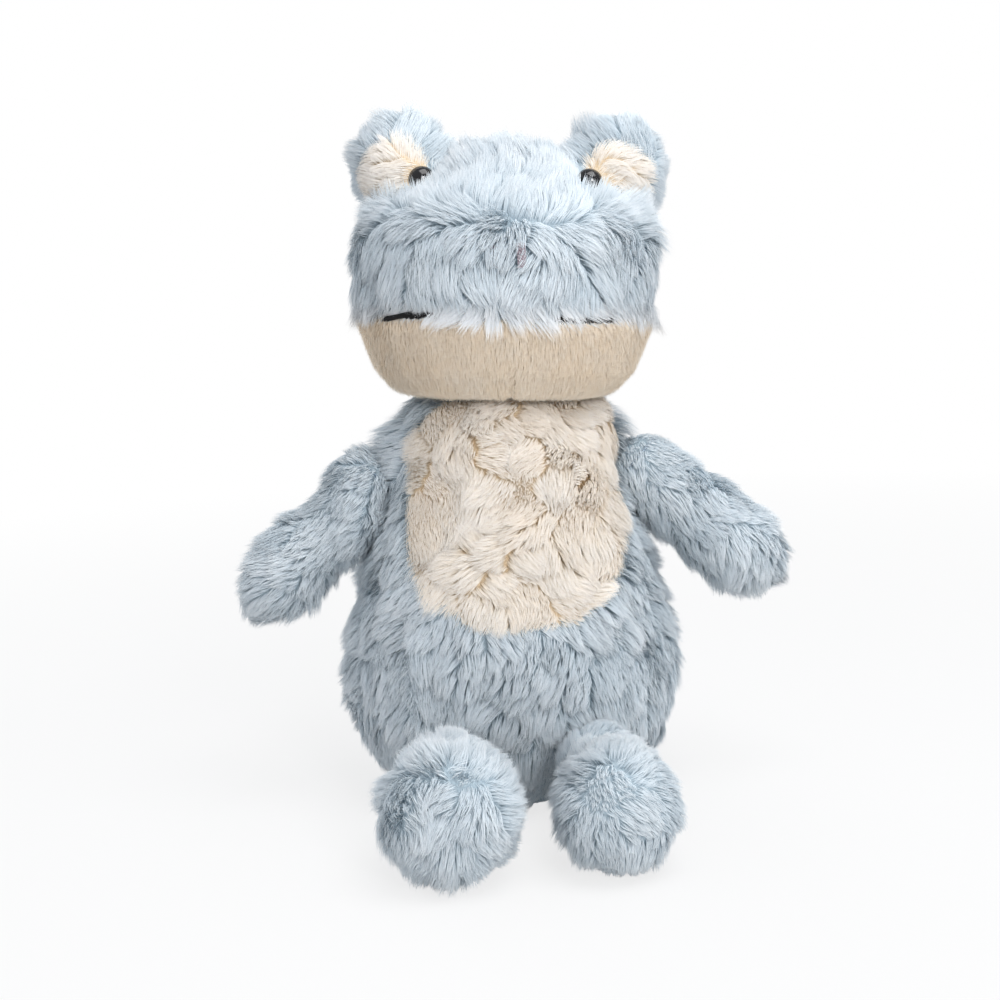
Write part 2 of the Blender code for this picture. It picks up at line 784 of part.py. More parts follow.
def main():
    """Build the frog."""
    for thing in list(bpy.data.objects):
        bpy.data.objects.remove(thing)

    finishes = {
        "plush_blue": finish("plush_blue", (0.56, 0.66, 0.74), 0.9),
        "plush_cream": finish("plush_cream", (0.76, 0.70, 0.62), 0.9),
        "stuffing": finish("stuffing", (0.85, 0.85, 0.83), 0.95),
        "pellets": finish("pellets", (0.55, 0.55, 0.55), 0.8),
        "thread": finish("thread", (0.45, 0.54, 0.60), 0.7),
        "mouth_thread": finish("mouth_thread", (0.02, 0.02, 0.02), 0.6),
        "nose_thread": finish("nose_thread", (0.30, 0.24, 0.20), 0.7),
        "eye_black": finish("eye_black", (0.01, 0.01, 0.01), 0.08, 1.0),
        "washer": finish("washer", (0.80, 0.80, 0.80), 0.5),
    }

    shoulder_reach, _ = body_reach(ARM_HEIGHT)
    hip_width, hip_front = body_reach(LEG_HEIGHT)
    hip_depth = hip_front * math.sqrt(1.0 - (LEG_SPREAD / hip_width) ** 2)
    arm_socket = socket(ARM_BALL_RADIUS + THREAD_SPACE)
    leg_socket = socket(LEG_BALL_RADIUS + THREAD_SPACE)
    sockets = []
    for name, sign in (("left", 1.0), ("right", -1.0)):
        shoulder = Vector((sign * (shoulder_reach + ARM_STANDOFF), -ARM_FORWARD, ARM_HEIGHT))
        arm_turn = (0.0, sign * (0.5 * math.pi + ARM_DROOP), -sign * ARM_SWEEP)
        arm_frame = frame(f"shoulder_{name}", shoulder, arm_turn)
        sockets.append(cutter(f"shoulder_socket_{name}", arm_socket, arm_frame))
        build_limb(
            "arm",
            name,
            arm_frame,
            ARM_BALL_RADIUS,
            ARM_NECK_SHARES,
            ARM_LENGTH,
            ARM_RADIUS,
            ARM_PROFILE_SHARES,
            finishes,
        )
        hip = Vector((sign * LEG_SPREAD, -hip_depth - LEG_STANDOFF, LEG_HEIGHT))
        leg_frame = frame(f"hip_{name}", hip, (0.5 * math.pi, 0.0, 0.0))
        sockets.append(cutter(f"hip_socket_{name}", leg_socket, leg_frame))
        leg = build_limb(
            "leg",
            name,
            leg_frame,
            LEG_BALL_RADIUS,
            LEG_NECK_SHARES,
            LEG_LENGTH,
            LEG_RADIUS,
            LEG_PROFILE_SHARES,
            finishes,
        )
        cut(leg, cutter(f"floor_under_leg_{name}", below(0.0)))

    build_body(finishes, sockets)
    head_frame = frame("head_frame", (0.0, 0.0, NECK_HEIGHT), (0.0, HEAD_TILT, 0.0))
    build_head(finishes, head_frame)

    seam_middle = NECK_BALL_RADIUS + 0.5 * THREAD_SPACE
    seam_height = math.sqrt(seam_middle ** 2 - NECK_SEAM_RADIUS ** 2)
    neck_frame = frame("neck_frame", (0.0, 0.0, NECK_HEIGHT))
    neck_thread = thread_ring(NECK_SEAM_RADIUS, seam_height)
    piece("neck_seam", neck_thread, finishes["thread"], neck_frame)


if __name__ == "__main__":
    main()
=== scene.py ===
"""Looks of the plush frog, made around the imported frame.

Long blue pile, cream panels, black eyes and thread. Lengths are in metres.
"""

from __future__ import annotations

import json
import logging
import math
from collections.abc import Sequence
from dataclasses import asdict, dataclass, field, fields, replace
from enum import Enum

import bmesh
import bpy
import numpy as np
from mathutils import Matrix, Vector, bvhtree, noise


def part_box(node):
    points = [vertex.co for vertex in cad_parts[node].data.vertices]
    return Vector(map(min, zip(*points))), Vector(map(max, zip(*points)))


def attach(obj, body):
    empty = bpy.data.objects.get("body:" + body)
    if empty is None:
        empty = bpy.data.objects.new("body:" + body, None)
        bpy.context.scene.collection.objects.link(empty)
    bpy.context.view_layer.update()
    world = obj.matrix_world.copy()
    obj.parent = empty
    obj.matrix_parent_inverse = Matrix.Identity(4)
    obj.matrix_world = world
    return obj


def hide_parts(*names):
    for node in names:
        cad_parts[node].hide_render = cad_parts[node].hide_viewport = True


LOG = logging.getLogger("plush_frog")
STRAND_UV = "OFBake"
MM = 0.001
DOWN = np.array((0.0, 0.0, -1.0))
UP = Vector((0.0, 0.0, 1.0))
WHITE = (1.0, 1.0, 1.0, 1.0)
TINY = 1e-6
SEED_STEP = 100
FIRST_LIMB_SEED = 30
LIMB_SEED_STEP = 10

Array = np.ndarray
Place = tuple[float, float, float]
Object = bpy.types.Object
Mesh = bpy.types.Mesh
Node = bpy.types.Node
Socket = bpy.types.NodeSocket
Material = bpy.types.Material


class Slot(Enum):
    """Material slots of the record; each coat and seam holds one."""

    BLUE = "plush_blue"
    CREAM = "plush_cream"
    STUFFING = "stuffing"
    PELLETS = "pellets"
    THREAD = "thread"
    MOUTH = "mouth_thread"
    NOSE = "nose_thread"
    EYE = "eye_black"


class Side(Enum):
    """The two sides of the toy, and the sign of x on each."""

    LEFT = 1
    RIGHT = -1

    @property
    def suffix(self) -> str:
        """The end of a piece's name on this side."""
        return self.name.lower()


def linear(hexadecimal: str) -> tuple[float, float, float, float]:
    """Turns a written sRGB colour into the linear colour that a socket takes.

    Args:
        hexadecimal: Six hexadecimal digits, red first.

    Returns:
        Red, green, blue and an alpha of 1.
    """
    shares = [int(hexadecimal[i : i + 2], 16) / 255.0 for i in (0, 2, 4)]
    flat = [s / 12.92 if s <= 0.04045 else ((s + 0.055) / 1.055) ** 2.4 for s in shares]
    return (flat[0], flat[1], flat[2], 1.0)


class Graph:
    """A small hand for building node trees."""

    def __init__(self, tree: bpy.types.NodeTree) -> None:
        """Keeps the tree and remembers nothing else."""
        self.tree = tree

    def node(self, kind: str, **settings: object) -> Node:
        """Adds a node.

        Args:
            kind: The node's type name.
            settings: Its properties; those of its inputs are given to feed.

        Returns:
            The new node.
        """
        made = self.tree.nodes.new(kind)
        for name, value in settings.items():
            setattr(made, name, value)
        return made

    def feed(self, socket: Socket, value: object) -> None:
        """Links a socket into an input, or sets the input's own value.

        Args:
            socket: The input.
            value: A socket, or a plain value.
        """
        if isinstance(value, Socket):
            self.tree.links.new(value, socket)
        else:
            socket.default_value = value

    def made(self, kind: str, inputs: dict, output: int | str = 0, **settings: object) -> Socket:
        """Adds a node with its inputs fed and gives one of its outputs.

        Args:
            kind: The node's type name.
            inputs: Values or sockets by input name or number.
            output: Name or number of the wanted output.
            settings: The node's properties.

        Returns:
            The output socket.
        """
        made = self.node(kind, **settings)
        for key, value in inputs.items():
            self.feed(made.inputs[key], value)
        return made.outputs[output]

    def math(self, operation: str, *values: object) -> Socket:
        """Adds one step of arithmetic."""
        return self.made("ShaderNodeMath", dict(enumerate(values)), operation=operation)

    def vector(self, operation: str, *values: object) -> Socket:
        """Adds one step of vector arithmetic that gives a vector."""
        return self.made("ShaderNodeVectorMath", dict(enumerate(values)), "Vector", operation=operation)

    def scaled(self, vector: object, share: object) -> Socket:
        """Adds the scaling of a vector."""
        return self.made("ShaderNodeVectorMath", {0: vector, "Scale": share}, "Vector", operation="SCALE")

    def between(self, first: object, second: object, share: object) -> Socket:
        """Adds a vector that lies a share of the way from the first to the second."""
        away = self.vector("SUBTRACT", second, first)
        return self.vector("ADD", first, self.scaled(away, share))

    def random(self, low: float, high: float, seed: object) -> Socket:
        """Adds a random number for each point."""
        return self.made("FunctionNodeRandomValue", {2: low, 3: high, "Seed": seed}, 1, data_type="FLOAT")

    def named(self, name: str, kind: str = "FLOAT") -> Socket:
        """Adds the reading of a named attribute."""
        return self.made("GeometryNodeInputNamedAttribute", {"Name": name}, "Attribute", data_type=kind)

    def stored(self, geometry: object, name: str, kind: str, value: object, domain: str = "POINT") -> Socket:
        """Adds the writing of a named attribute."""
        inputs = {"Geometry": geometry, "Name": name, "Value": value}
        return self.made("GeometryNodeStoreNamedAttribute", inputs, data_type=kind, domain=domain)

    def coloured(self, surface: Node, share: Socket, first: str, last: str) -> None:
        """Feeds a surface's colour, from the first written colour to the last by a share."""
        inputs = {"Factor": share, 6: linear(first), 7: linear(last)}
        self.feed(surface.inputs["Base Color"], self.made("ShaderNodeMix", inputs, 2, data_type="RGBA"))

    def bumped(self, surface: Node, strength: float, distance: float, height: Socket) -> None:
        """Feeds a surface's normal with a bump."""
        inputs = {"Strength": strength, "Distance": distance, "Height": height}
        self.feed(surface.inputs["Normal"], self.made("ShaderNodeBump", inputs, "Normal"))


# Finishes


def started(name: str) -> tuple[Material, Graph, Node]:
    """Starts a material.

    Args:
        name: Its name.

    Returns:
        The material, a hand for its nodes and its surface node.
    """
    material = bpy.data.materials.new(name)
    material.use_nodes = True
    return material, Graph(material.node_tree), material.node_tree.nodes["Principled BSDF"]


@dataclass(frozen=True)
class FurFinish:
    """Pile: each strand goes from a darker root, painted shade deep in the pile, to a pale tip, and strands
    differ a little.

    The colour depends on the strand's own UV alone: U is its tint and V runs from root to tip.
    """

    name: str
    root: str
    middle: str
    body: str
    tip: str
    shaded: str
    stops: tuple[float, ...] = (0.0, 0.28, 0.68, 1.0)
    shading: float = 0.5
    roughness: float = 0.72
    gloss: float = 0.25
    translucency: float = 0.3

    def made(self) -> Material:
        """Builds the material.

        Returns:
            The material, which changes colour from each strand's root to its tip; the darker root is painted
            shade.
        """
        material, graph, surface = started(self.name)
        uv = graph.made("ShaderNodeUVMap", {}, "UV", uv_map=STRAND_UV)
        split = graph.node("ShaderNodeSeparateXYZ")
        graph.feed(split.inputs[0], uv)
        ramp = graph.node("ShaderNodeValToRGB")
        graph.feed(ramp.inputs["Fac"], split.outputs["Y"])
        elements = ramp.color_ramp.elements
        while len(elements) < len(self.stops):
            elements.new(0.5)
        # The root colour, darker than the rest, is painted shade deep in the pile.
        colours = (self.root, self.middle, self.body, self.tip)
        for element, place, colour in zip(elements, self.stops, colours):
            element.position = place
            element.color = linear(colour)
        inputs = {"Value": split.outputs["X"], 3: self.shading, 4: 0.0}
        spread = graph.made("ShaderNodeMapRange", inputs, "Result")
        inputs = {"Factor": spread, 6: ramp.outputs["Color"], 7: linear(self.shaded)}
        colour = graph.made("ShaderNodeMix", inputs, 2, data_type="RGBA", blend_type="MULTIPLY")
        graph.feed(surface.inputs["Base Color"], colour)
        surface.inputs["Roughness"].default_value = self.roughness
        surface.inputs["Specular IOR Level"].default_value = self.gloss
        through = graph.made("ShaderNodeBsdfTranslucent", {"Color": colour}, "BSDF")
        inputs = {0: self.translucency, 1: surface.outputs["BSDF"], 2: through}
        shader = graph.made("ShaderNodeMixShader", inputs, "Shader")
        graph.feed(material.node_tree.nodes["Material Output"].inputs["Surface"], shader)
        return material


@dataclass(frozen=True)
class GlossFinish:
    """Moulded plastic, polished or dull, with the faint ripple of a moulded face."""

    name: str
    colour: str
    roughness: float
    coat: float
    coat_roughness: float = 0.03
    ripple: float = 2.5 * MM
    relief: float = 0.05 * MM

    def made(self) -> Material:
        """Builds the material.

        Returns:
            The material, with its clear coat and faint ripples.
        """
        material, graph, surface = started(self.name)
        surface.inputs["Base Color"].default_value = linear(self.colour)
        surface.inputs["Roughness"].default_value = self.roughness
        surface.inputs["Coat Weight"].default_value = self.coat
        surface.inputs["Coat Roughness"].default_value = self.coat_roughness
        place = graph.made("ShaderNodeTexCoord", {}, "Object")
        wave = graph.made("ShaderNodeTexNoise", {"Vector": place, "Scale": 1.0 / self.ripple}, 0)
        graph.bumped(surface, 0.05, self.relief, wave)
        return material


@dataclass(frozen=True)
class Grain:
    """A fine texture: its node with its settings, its size, and how strongly and deeply it is felt."""

    node: str
    output: str
    size: float
    strength: float
    relief: float
    inputs: tuple[tuple[str, float], ...] = ()
    settings: tuple[tuple[str, str], ...] = ()


KNIT = Grain("ShaderNodeTexVoronoi", "Distance", 0.9 * MM, 0.4, 0.3 * MM)
SLANTED = (("bands_direction", "DIAGONAL"),)
TWIST = Grain("ShaderNodeTexWave", "Fac", 2.1 * MM, 0.5, 0.1 * MM, (("Distortion", 1.5),), SLANTED)
FIBRE = Grain("ShaderNodeTexNoise", "Fac", 2.0 * MM, 0.6, 0.4 * MM, (("Detail", 4.0), ("Distortion", 0.8)))
PELLETS = replace(FIBRE, size=1.6 * MM)


@dataclass(frozen=True)
class GrainFinish:
    """Knitted cloth, twisted thread or loose filling, from one colour to another by its grain."""

    name: str
    grain: Grain
    low: str
    high: str
    roughness: float
    gloss: float = 0.5

    def made(self) -> Material:
        """Builds the material.

        Returns:
            The material, with its grain in colour and in relief.
        """
        material, graph, surface = started(self.name)
        grain = self.grain
        place = graph.made("ShaderNodeTexCoord", {}, "Object")
        inputs = {"Vector": place, "Scale": 1.0 / grain.size} | dict(grain.inputs)
        share = graph.made(grain.node, inputs, grain.output, **dict(grain.settings))
        graph.coloured(surface, share, self.low, self.high)
        surface.inputs["Roughness"].default_value = self.roughness
        surface.inputs["Specular IOR Level"].default_value = self.gloss
        graph.bumped(surface, grain.strength, grain.relief, share)
        return material


class Finishes:
    """Every finish of the toy, built once."""

    def __init__(self) -> None:
        """Builds the materials."""
        # Each pile's first colour, its root, is darker than its tip: painted shade deep in the pile.
        self.blue = FurFinish("pile_blue", "aebec8", "e2ecf2", "f5fafd", "fdfeff", "c6d3db").made()
        self.cream = FurFinish("pile_cream", "ead6b6", "fcf3e4", "fffcf7", "fffefd", "faeedd").made()
        self.jaw = FurFinish("pile_jaw", "f4e4cb", "faeedb", "fcf2e3", "fdf7ec", "f9edda").made()
        self.patch = FurFinish("pile_eye_patch", "f7ecdb", "fefaf3", "fffdfa", "fffefd", "fbf4ea").made()
        self.fringe = FurFinish("pile_lip_fringe", "d2dee4", "eaf0f4", "f8f9fa", "fffefd", "e6eaed").made()
        self.blue_backing = GrainFinish("backing_blue", KNIT, "bccad2", "a0b0ba", 0.9).made()
        self.cream_backing = GrainFinish("backing_cream", KNIT, "ead9bf", "d6bf9d", 0.9).made()
        self.black = GlossFinish("eye_black_plastic", "080709", 0.10, 0.2).made()
        self.mouth = GrainFinish("mouth_thread_black", TWIST, "080708", "141213", 0.75, 0.25).made()
        self.nose = GrainFinish("nose_thread_taupe", TWIST, "7d7078", "a99ca3", 0.75, 0.25).made()
        self.thread = GrainFinish("sewing_thread_blue", TWIST, "71808e", "9fb0bf", 0.75, 0.25).made()
        self.stuffing = GrainFinish("polyester_fibre", FIBRE, "d6d7d8", "f4f4f2", 0.9).made()
        self.pellets = GrainFinish("pellet_bag", PELLETS, "bdbab2", "e9e7e1", 0.7).made()
        self.washer = GlossFinish("washer_plastic", "d9dadb", 0.45, 0.0).made()


# Soft steps and noise


def smoothstep(low: float | Array, high: float | Array, values: Array) -> Array:
    """Goes softly from 0 at low to 1 at high."""
    t = np.clip((values - low) / (high - low), 0.0, 1.0)
    return t * t * (3.0 - 2.0 * t)


@dataclass(frozen=True)
class Band:
    """A soft step: 0 at its start and before, 1 at its end and past it, whichever is the higher."""

    start: float
    end: float

    def of(self, values: Array) -> Array:
        """How far through the band each value lies, from 0 to 1."""
        return smoothstep(self.start, self.end, values)


def band_mm(start: float, end: float) -> Band:
    """A band between two places that are given in millimetres."""
    return Band(start * MM, end * MM)


@dataclass(frozen=True)
class Swirl:
    """Noise that turns the pile's comb: a swirl's size, the most that it turns in degrees, and its seed."""

    size: float
    angle: float
    seed: int


@dataclass(frozen=True)
class Wave:
    """Noise that changes a value from place to place: a wave's size, its height and its seed."""

    size: float
    height: float
    seed: int


# Skins under the pile


class Skin:
    """A closed cloth surface, with its points read into arrays."""

    SWIRL_STEPS = (3.7, 1.9, 5.3)
    SWIRL_GAIN = 1.8
    WAVE_STEPS = (2.3, 4.1, 0.7)

    def __init__(self, obj: Object) -> None:
        """Reads the object's mesh."""
        self.obj = obj
        self.read()

    def read(self) -> None:
        """Reads points, normals and edges from the mesh."""
        mesh = self.obj.data
        count = len(mesh.vertices)
        flat = np.empty(count * 3, np.float32)
        mesh.vertices.foreach_get("co", flat)
        self.points = flat.reshape(-1, 3).astype(float)
        normals = np.empty(count * 3, np.float32)
        mesh.vertex_normals.foreach_get("vector", normals)
        self.normals = normals.reshape(-1, 3).astype(float)
        pairs = np.empty(len(mesh.edges) * 2, np.int32)
        mesh.edges.foreach_get("vertices", pairs)
        self.edges = pairs.reshape(-1, 2)

    def place(self, points: Array) -> None:
        """Moves the mesh's points and reads them again.

        Args:
            points: One row for each of the mesh's points.
        """
        self.obj.data.vertices.foreach_set("co", points.astype(np.float32).ravel())
        self.obj.data.update()
        self.read()

    def eased(self, values: Array, rounds: int) -> Array:
        """Softens values over the surface.

        Args:
            values: One number or vector for each point.
            rounds: How many times each takes its neighbours' mean.

        Returns:
            The softened values.
        """
        first, second = self.edges[:, 0], self.edges[:, 1]
        count = len(self.points)
        degree = np.bincount(first, minlength=count) + np.bincount(second, minlength=count)
        columns = values.reshape(count, -1).copy()
        for _ in range(rounds):
            for k in range(columns.shape[1]):
                column = columns[:, k]
                total = np.bincount(first, column[second], count) + np.bincount(second, column[first], count)
                columns[:, k] = 0.5 * column + 0.5 * total / np.maximum(degree, 1)
        return columns.reshape(values.shape)

    def along(self, direction: Array) -> Array:
        """Lays directions flat on the surface.

        Args:
            direction: One vector, or one for each point.

        Returns:
            Unit tangents, one for each point.
        """
        across = (direction * self.normals).sum(1, keepdims=True)
        flat = direction - across * self.normals
        return flat / np.maximum(np.linalg.norm(flat, axis=1, keepdims=True), TINY)

    def noise(self, size: float, shift: Vector) -> Array:
        """Smooth noise from -1 to 1 at each point, by a wave's size and a place in the noise."""
        return np.array([noise.noise(Vector(p) / size + shift) for p in self.points])

    def swirled(self, comb: Array, swirl: Swirl) -> Array:
        """Turns tangents in the surface by smooth noise.

        Args:
            comb: Unit tangents.
            swirl: The noise, and how far it turns them.

        Returns:
            The turned tangents.
        """
        waves = self.noise(swirl.size, Vector([swirl.seed * step for step in self.SWIRL_STEPS]))
        turn = np.radians(swirl.angle) * np.clip(waves * self.SWIRL_GAIN, -1.0, 1.0)
        side = np.cross(self.normals, comb)
        return comb * np.cos(turn)[:, None] + side * np.sin(turn)[:, None]

    def waves(self, wave: Wave) -> Array:
        """Smooth noise as high as the wave, at each point."""
        shift = Vector([wave.seed * step for step in self.WAVE_STEPS])
        return wave.height * self.noise(wave.size, shift)


def unit(vectors: Array) -> Array:
    """Scales each vector to a length of 1."""
    return vectors / np.linalg.norm(vectors, axis=1, keepdims=True)


def box_middle(name: str) -> Array:
    """The middle of a CAD node's box."""
    low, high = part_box(name)
    return np.array((low + high) / 2.0)


def cad_points(name: str) -> Array:
    """The points of a CAD node's mesh.

    Args:
        name: The node's name.

    Returns:
        One row for each point, in metres.
    """
    mesh = FRAME["nodes"][name].data
    flat = np.empty(len(mesh.vertices) * 3, np.float32)
    mesh.vertices.foreach_get("co", flat)
    return flat.reshape(-1, 3).astype(float)


def cad_tree(names: Sequence[str]) -> bvhtree.BVHTree:
    """A tree of CAD nodes' faces, for finding the nearest one.

    Args:
        names: The nodes' names.

    Returns:
        One tree of all their faces.
    """
    points: list = []
    faces: list = []
    for name in names:
        mesh = FRAME["nodes"][name].data
        start = len(points)
        points.extend(v.co.copy() for v in mesh.vertices)
        faces.extend([start + i for i in p.vertices] for p in mesh.polygons)
    return bvhtree.BVHTree.FromPolygons(points, faces)


def distances(tree: bvhtree.BVHTree, points: Array) -> Array:
    """How far each point is from a tree's faces."""
    return np.array([tree.find_nearest(Vector(p))[3] for p in points])


def inside(skin: Skin, points: Array, margin: float) -> Array:
    """Which points lie in a skin, or nearer to it than a margin outside.

    Args:
        skin: A closed skin.
        points: The points that are asked about.
        margin: How far outside still counts, in metres.

    Returns:
        True or False for each point.
    """
    tree = bvhtree.BVHTree.FromObject(skin.obj, bpy.context.evaluated_depsgraph_get())
    low, high = skin.points.min(0) - margin, skin.points.max(0) + margin
    answers = ((points > low) & (points < high)).all(1)
    for i in np.flatnonzero(answers):
        at, normal, _, _ = tree.find_nearest(Vector(points[i]))
        answers[i] = (Vector(points[i]) - at).dot(normal) < margin
    return answers


def plain_object(name: str, mesh: Mesh) -> Object:
    """Puts a mesh into the scene at the origin.

    Args:
        name: The new object's name.
        mesh: Its mesh.

    Returns:
        The new object.
    """
    obj = bpy.data.objects.new(name, mesh)
    bpy.context.scene.collection.objects.link(obj)
    return obj


def applied(obj: Object, name: str) -> Object:
    """Turns an object with modifiers into a plain one.

    Args:
        obj: The object, which is removed.
        name: The new object's name.

    Returns:
        A new object without modifiers.
    """
    graph = bpy.context.evaluated_depsgraph_get()
    mesh = bpy.data.meshes.new_from_object(obj.evaluated_get(graph), depsgraph=graph)
    mesh.name = name
    old = obj.data
    bpy.data.objects.remove(obj)
    bpy.data.meshes.remove(old)
    return plain_object(name, mesh)


def skin_round(name: str, clouds: Sequence[Array], voxel: float, rounds: int) -> Skin:
    """Makes an even, soft skin round clouds of points.

    Args:
        name: The skin's name.
        clouds: Each cloud becomes one full form, and the forms grow together.
        voxel: Size of the skin's faces, in metres.
        rounds: How often the skin is smoothed.

    Returns:
        The skin, on the outside of the clouds.
    """
    forms = bmesh.new()
    for cloud in clouds:
        points = [forms.verts.new(p) for p in np.unique(np.round(cloud, 6), axis=0)]
        result = bmesh.ops.convex_hull(forms, input=points)
        spare = result["geom_interior"] + result["geom_unused"]
        spare = {v for v in spare if isinstance(v, bmesh.types.BMVert)}
        bmesh.ops.delete(forms, geom=list(spare), context="VERTS")
    mesh = bpy.data.meshes.new(name)
    forms.to_mesh(mesh)
    forms.free()
    obj = plain_object(name + "_form", mesh)
    remesh = obj.modifiers.new("even", "REMESH")
    remesh.mode = "VOXEL"
    remesh.voxel_size = voxel
    remesh.use_smooth_shade = True
    ease = obj.modifiers.new("soft", "SMOOTH")
    ease.factor = 0.5
    ease.iterations = rounds
    return Skin(applied(obj, name))


# The pile


def label(name: str) -> str:
    """The name of a tree's input for a field."""
    return name.replace("_", " ").title()


@dataclass(frozen=True)
class Pile:
    """How the strands of one piece of fur stand.

    Densities are in strands, locks or tufts per square metre, lengths in metres, turns in degrees.
    """

    strands: float = 4.9e6
    locks: float = 0.8e6
    tufts: float = 0.012e6
    width: float = 0.25 * MM
    segments: int = 2
    lock_pull: float = 0.35
    tuft_pull: float = 0.18
    lean: float = 0.8
    puff: float = 0.35
    tuft_swing: float = 60.0
    lock_swing: float = 16.0
    uneven: float = 0.25
    twist: float = 28.0
    seed: int = 1

    def settings(self, share: float) -> dict[str, object]:
        """Works out the inputs of the tree.

        Args:
            share: How many of the strands are grown; fewer ones are wider.

        Returns:
            The value of each named input.
        """
        values = asdict(self)
        values["strands"] = self.strands * share
        values["width"] = self.width / share**0.5
        values["seed"] = self.seed * SEED_STEP
        for name in ("tuft_swing", "lock_swing", "twist"):
            values[name] = math.radians(values[name])
        return {label(name): value for name, value in values.items()}


@dataclass
class Coat:
    """One piece of fur: where it grows on a skin, how long it is and how it lies.

    Each array has one value for each point of the skin.
    """

    name: str
    body: str
    slot: Slot
    material: Material
    amount: Array
    length: Array
    comb: Array
    lift: Array
    pile: Pile


class Tree:
    """Geometry Nodes with named inputs, each set by its socket's identifier."""

    NAME: str
    INPUTS: tuple[tuple[str, str], ...]

    def __init__(self) -> None:
        """Builds the tree and its named inputs."""
        self.tree = bpy.data.node_groups.new(self.NAME, "GeometryNodeTree")
        sockets = self.tree.interface
        sockets.new_socket("Geometry", in_out="OUTPUT", socket_type="NodeSocketGeometry")
        sockets.new_socket("Geometry", in_out="INPUT", socket_type="NodeSocketGeometry")
        self.identifiers: dict[str, str] = {}
        for name, kind in (*self.INPUTS, ("Material", "NodeSocketMaterial")):
            socket = sockets.new_socket(name, in_out="INPUT", socket_type=kind)
            self.identifiers[name] = socket.identifier
        self.graph = g = Graph(self.tree)
        self.given = g.node("NodeGroupInput").outputs
        made = g.made("GeometryNodeSetShadeSmooth", {"Geometry": self.build(), "Shade Smooth": True})
        made = g.made("GeometryNodeRealizeInstances", {"Geometry": made})
        made = g.made("GeometryNodeSetMaterial", {"Geometry": made, "Material": self.given["Material"]})
        g.feed(g.node("NodeGroupOutput").inputs["Geometry"], made)

    def build(self) -> Socket:
        """Lays out the nodes between the inputs and the finished mesh."""
        raise NotImplementedError

    def run_on(self, mesh: Mesh, settings: dict[str, object], name: str) -> Object:
        """Runs the tree on a mesh.

        Args:
            mesh: What it starts from, which is removed.
            settings: The value of each named input.
            name: The new object's name.

        Returns:
            A plain object, without the modifier.
        """
        obj = plain_object(name + "_start", mesh)
        modifier = obj.modifiers.new("tree", "NODES")
        modifier.node_group = self.tree
        for key, value in settings.items():
            modifier[self.identifiers[key]] = value
        made = applied(obj, name)
        LOG.info("%s: %d triangles", name, sum(len(p.vertices) - 2 for p in made.data.polygons))
        return made


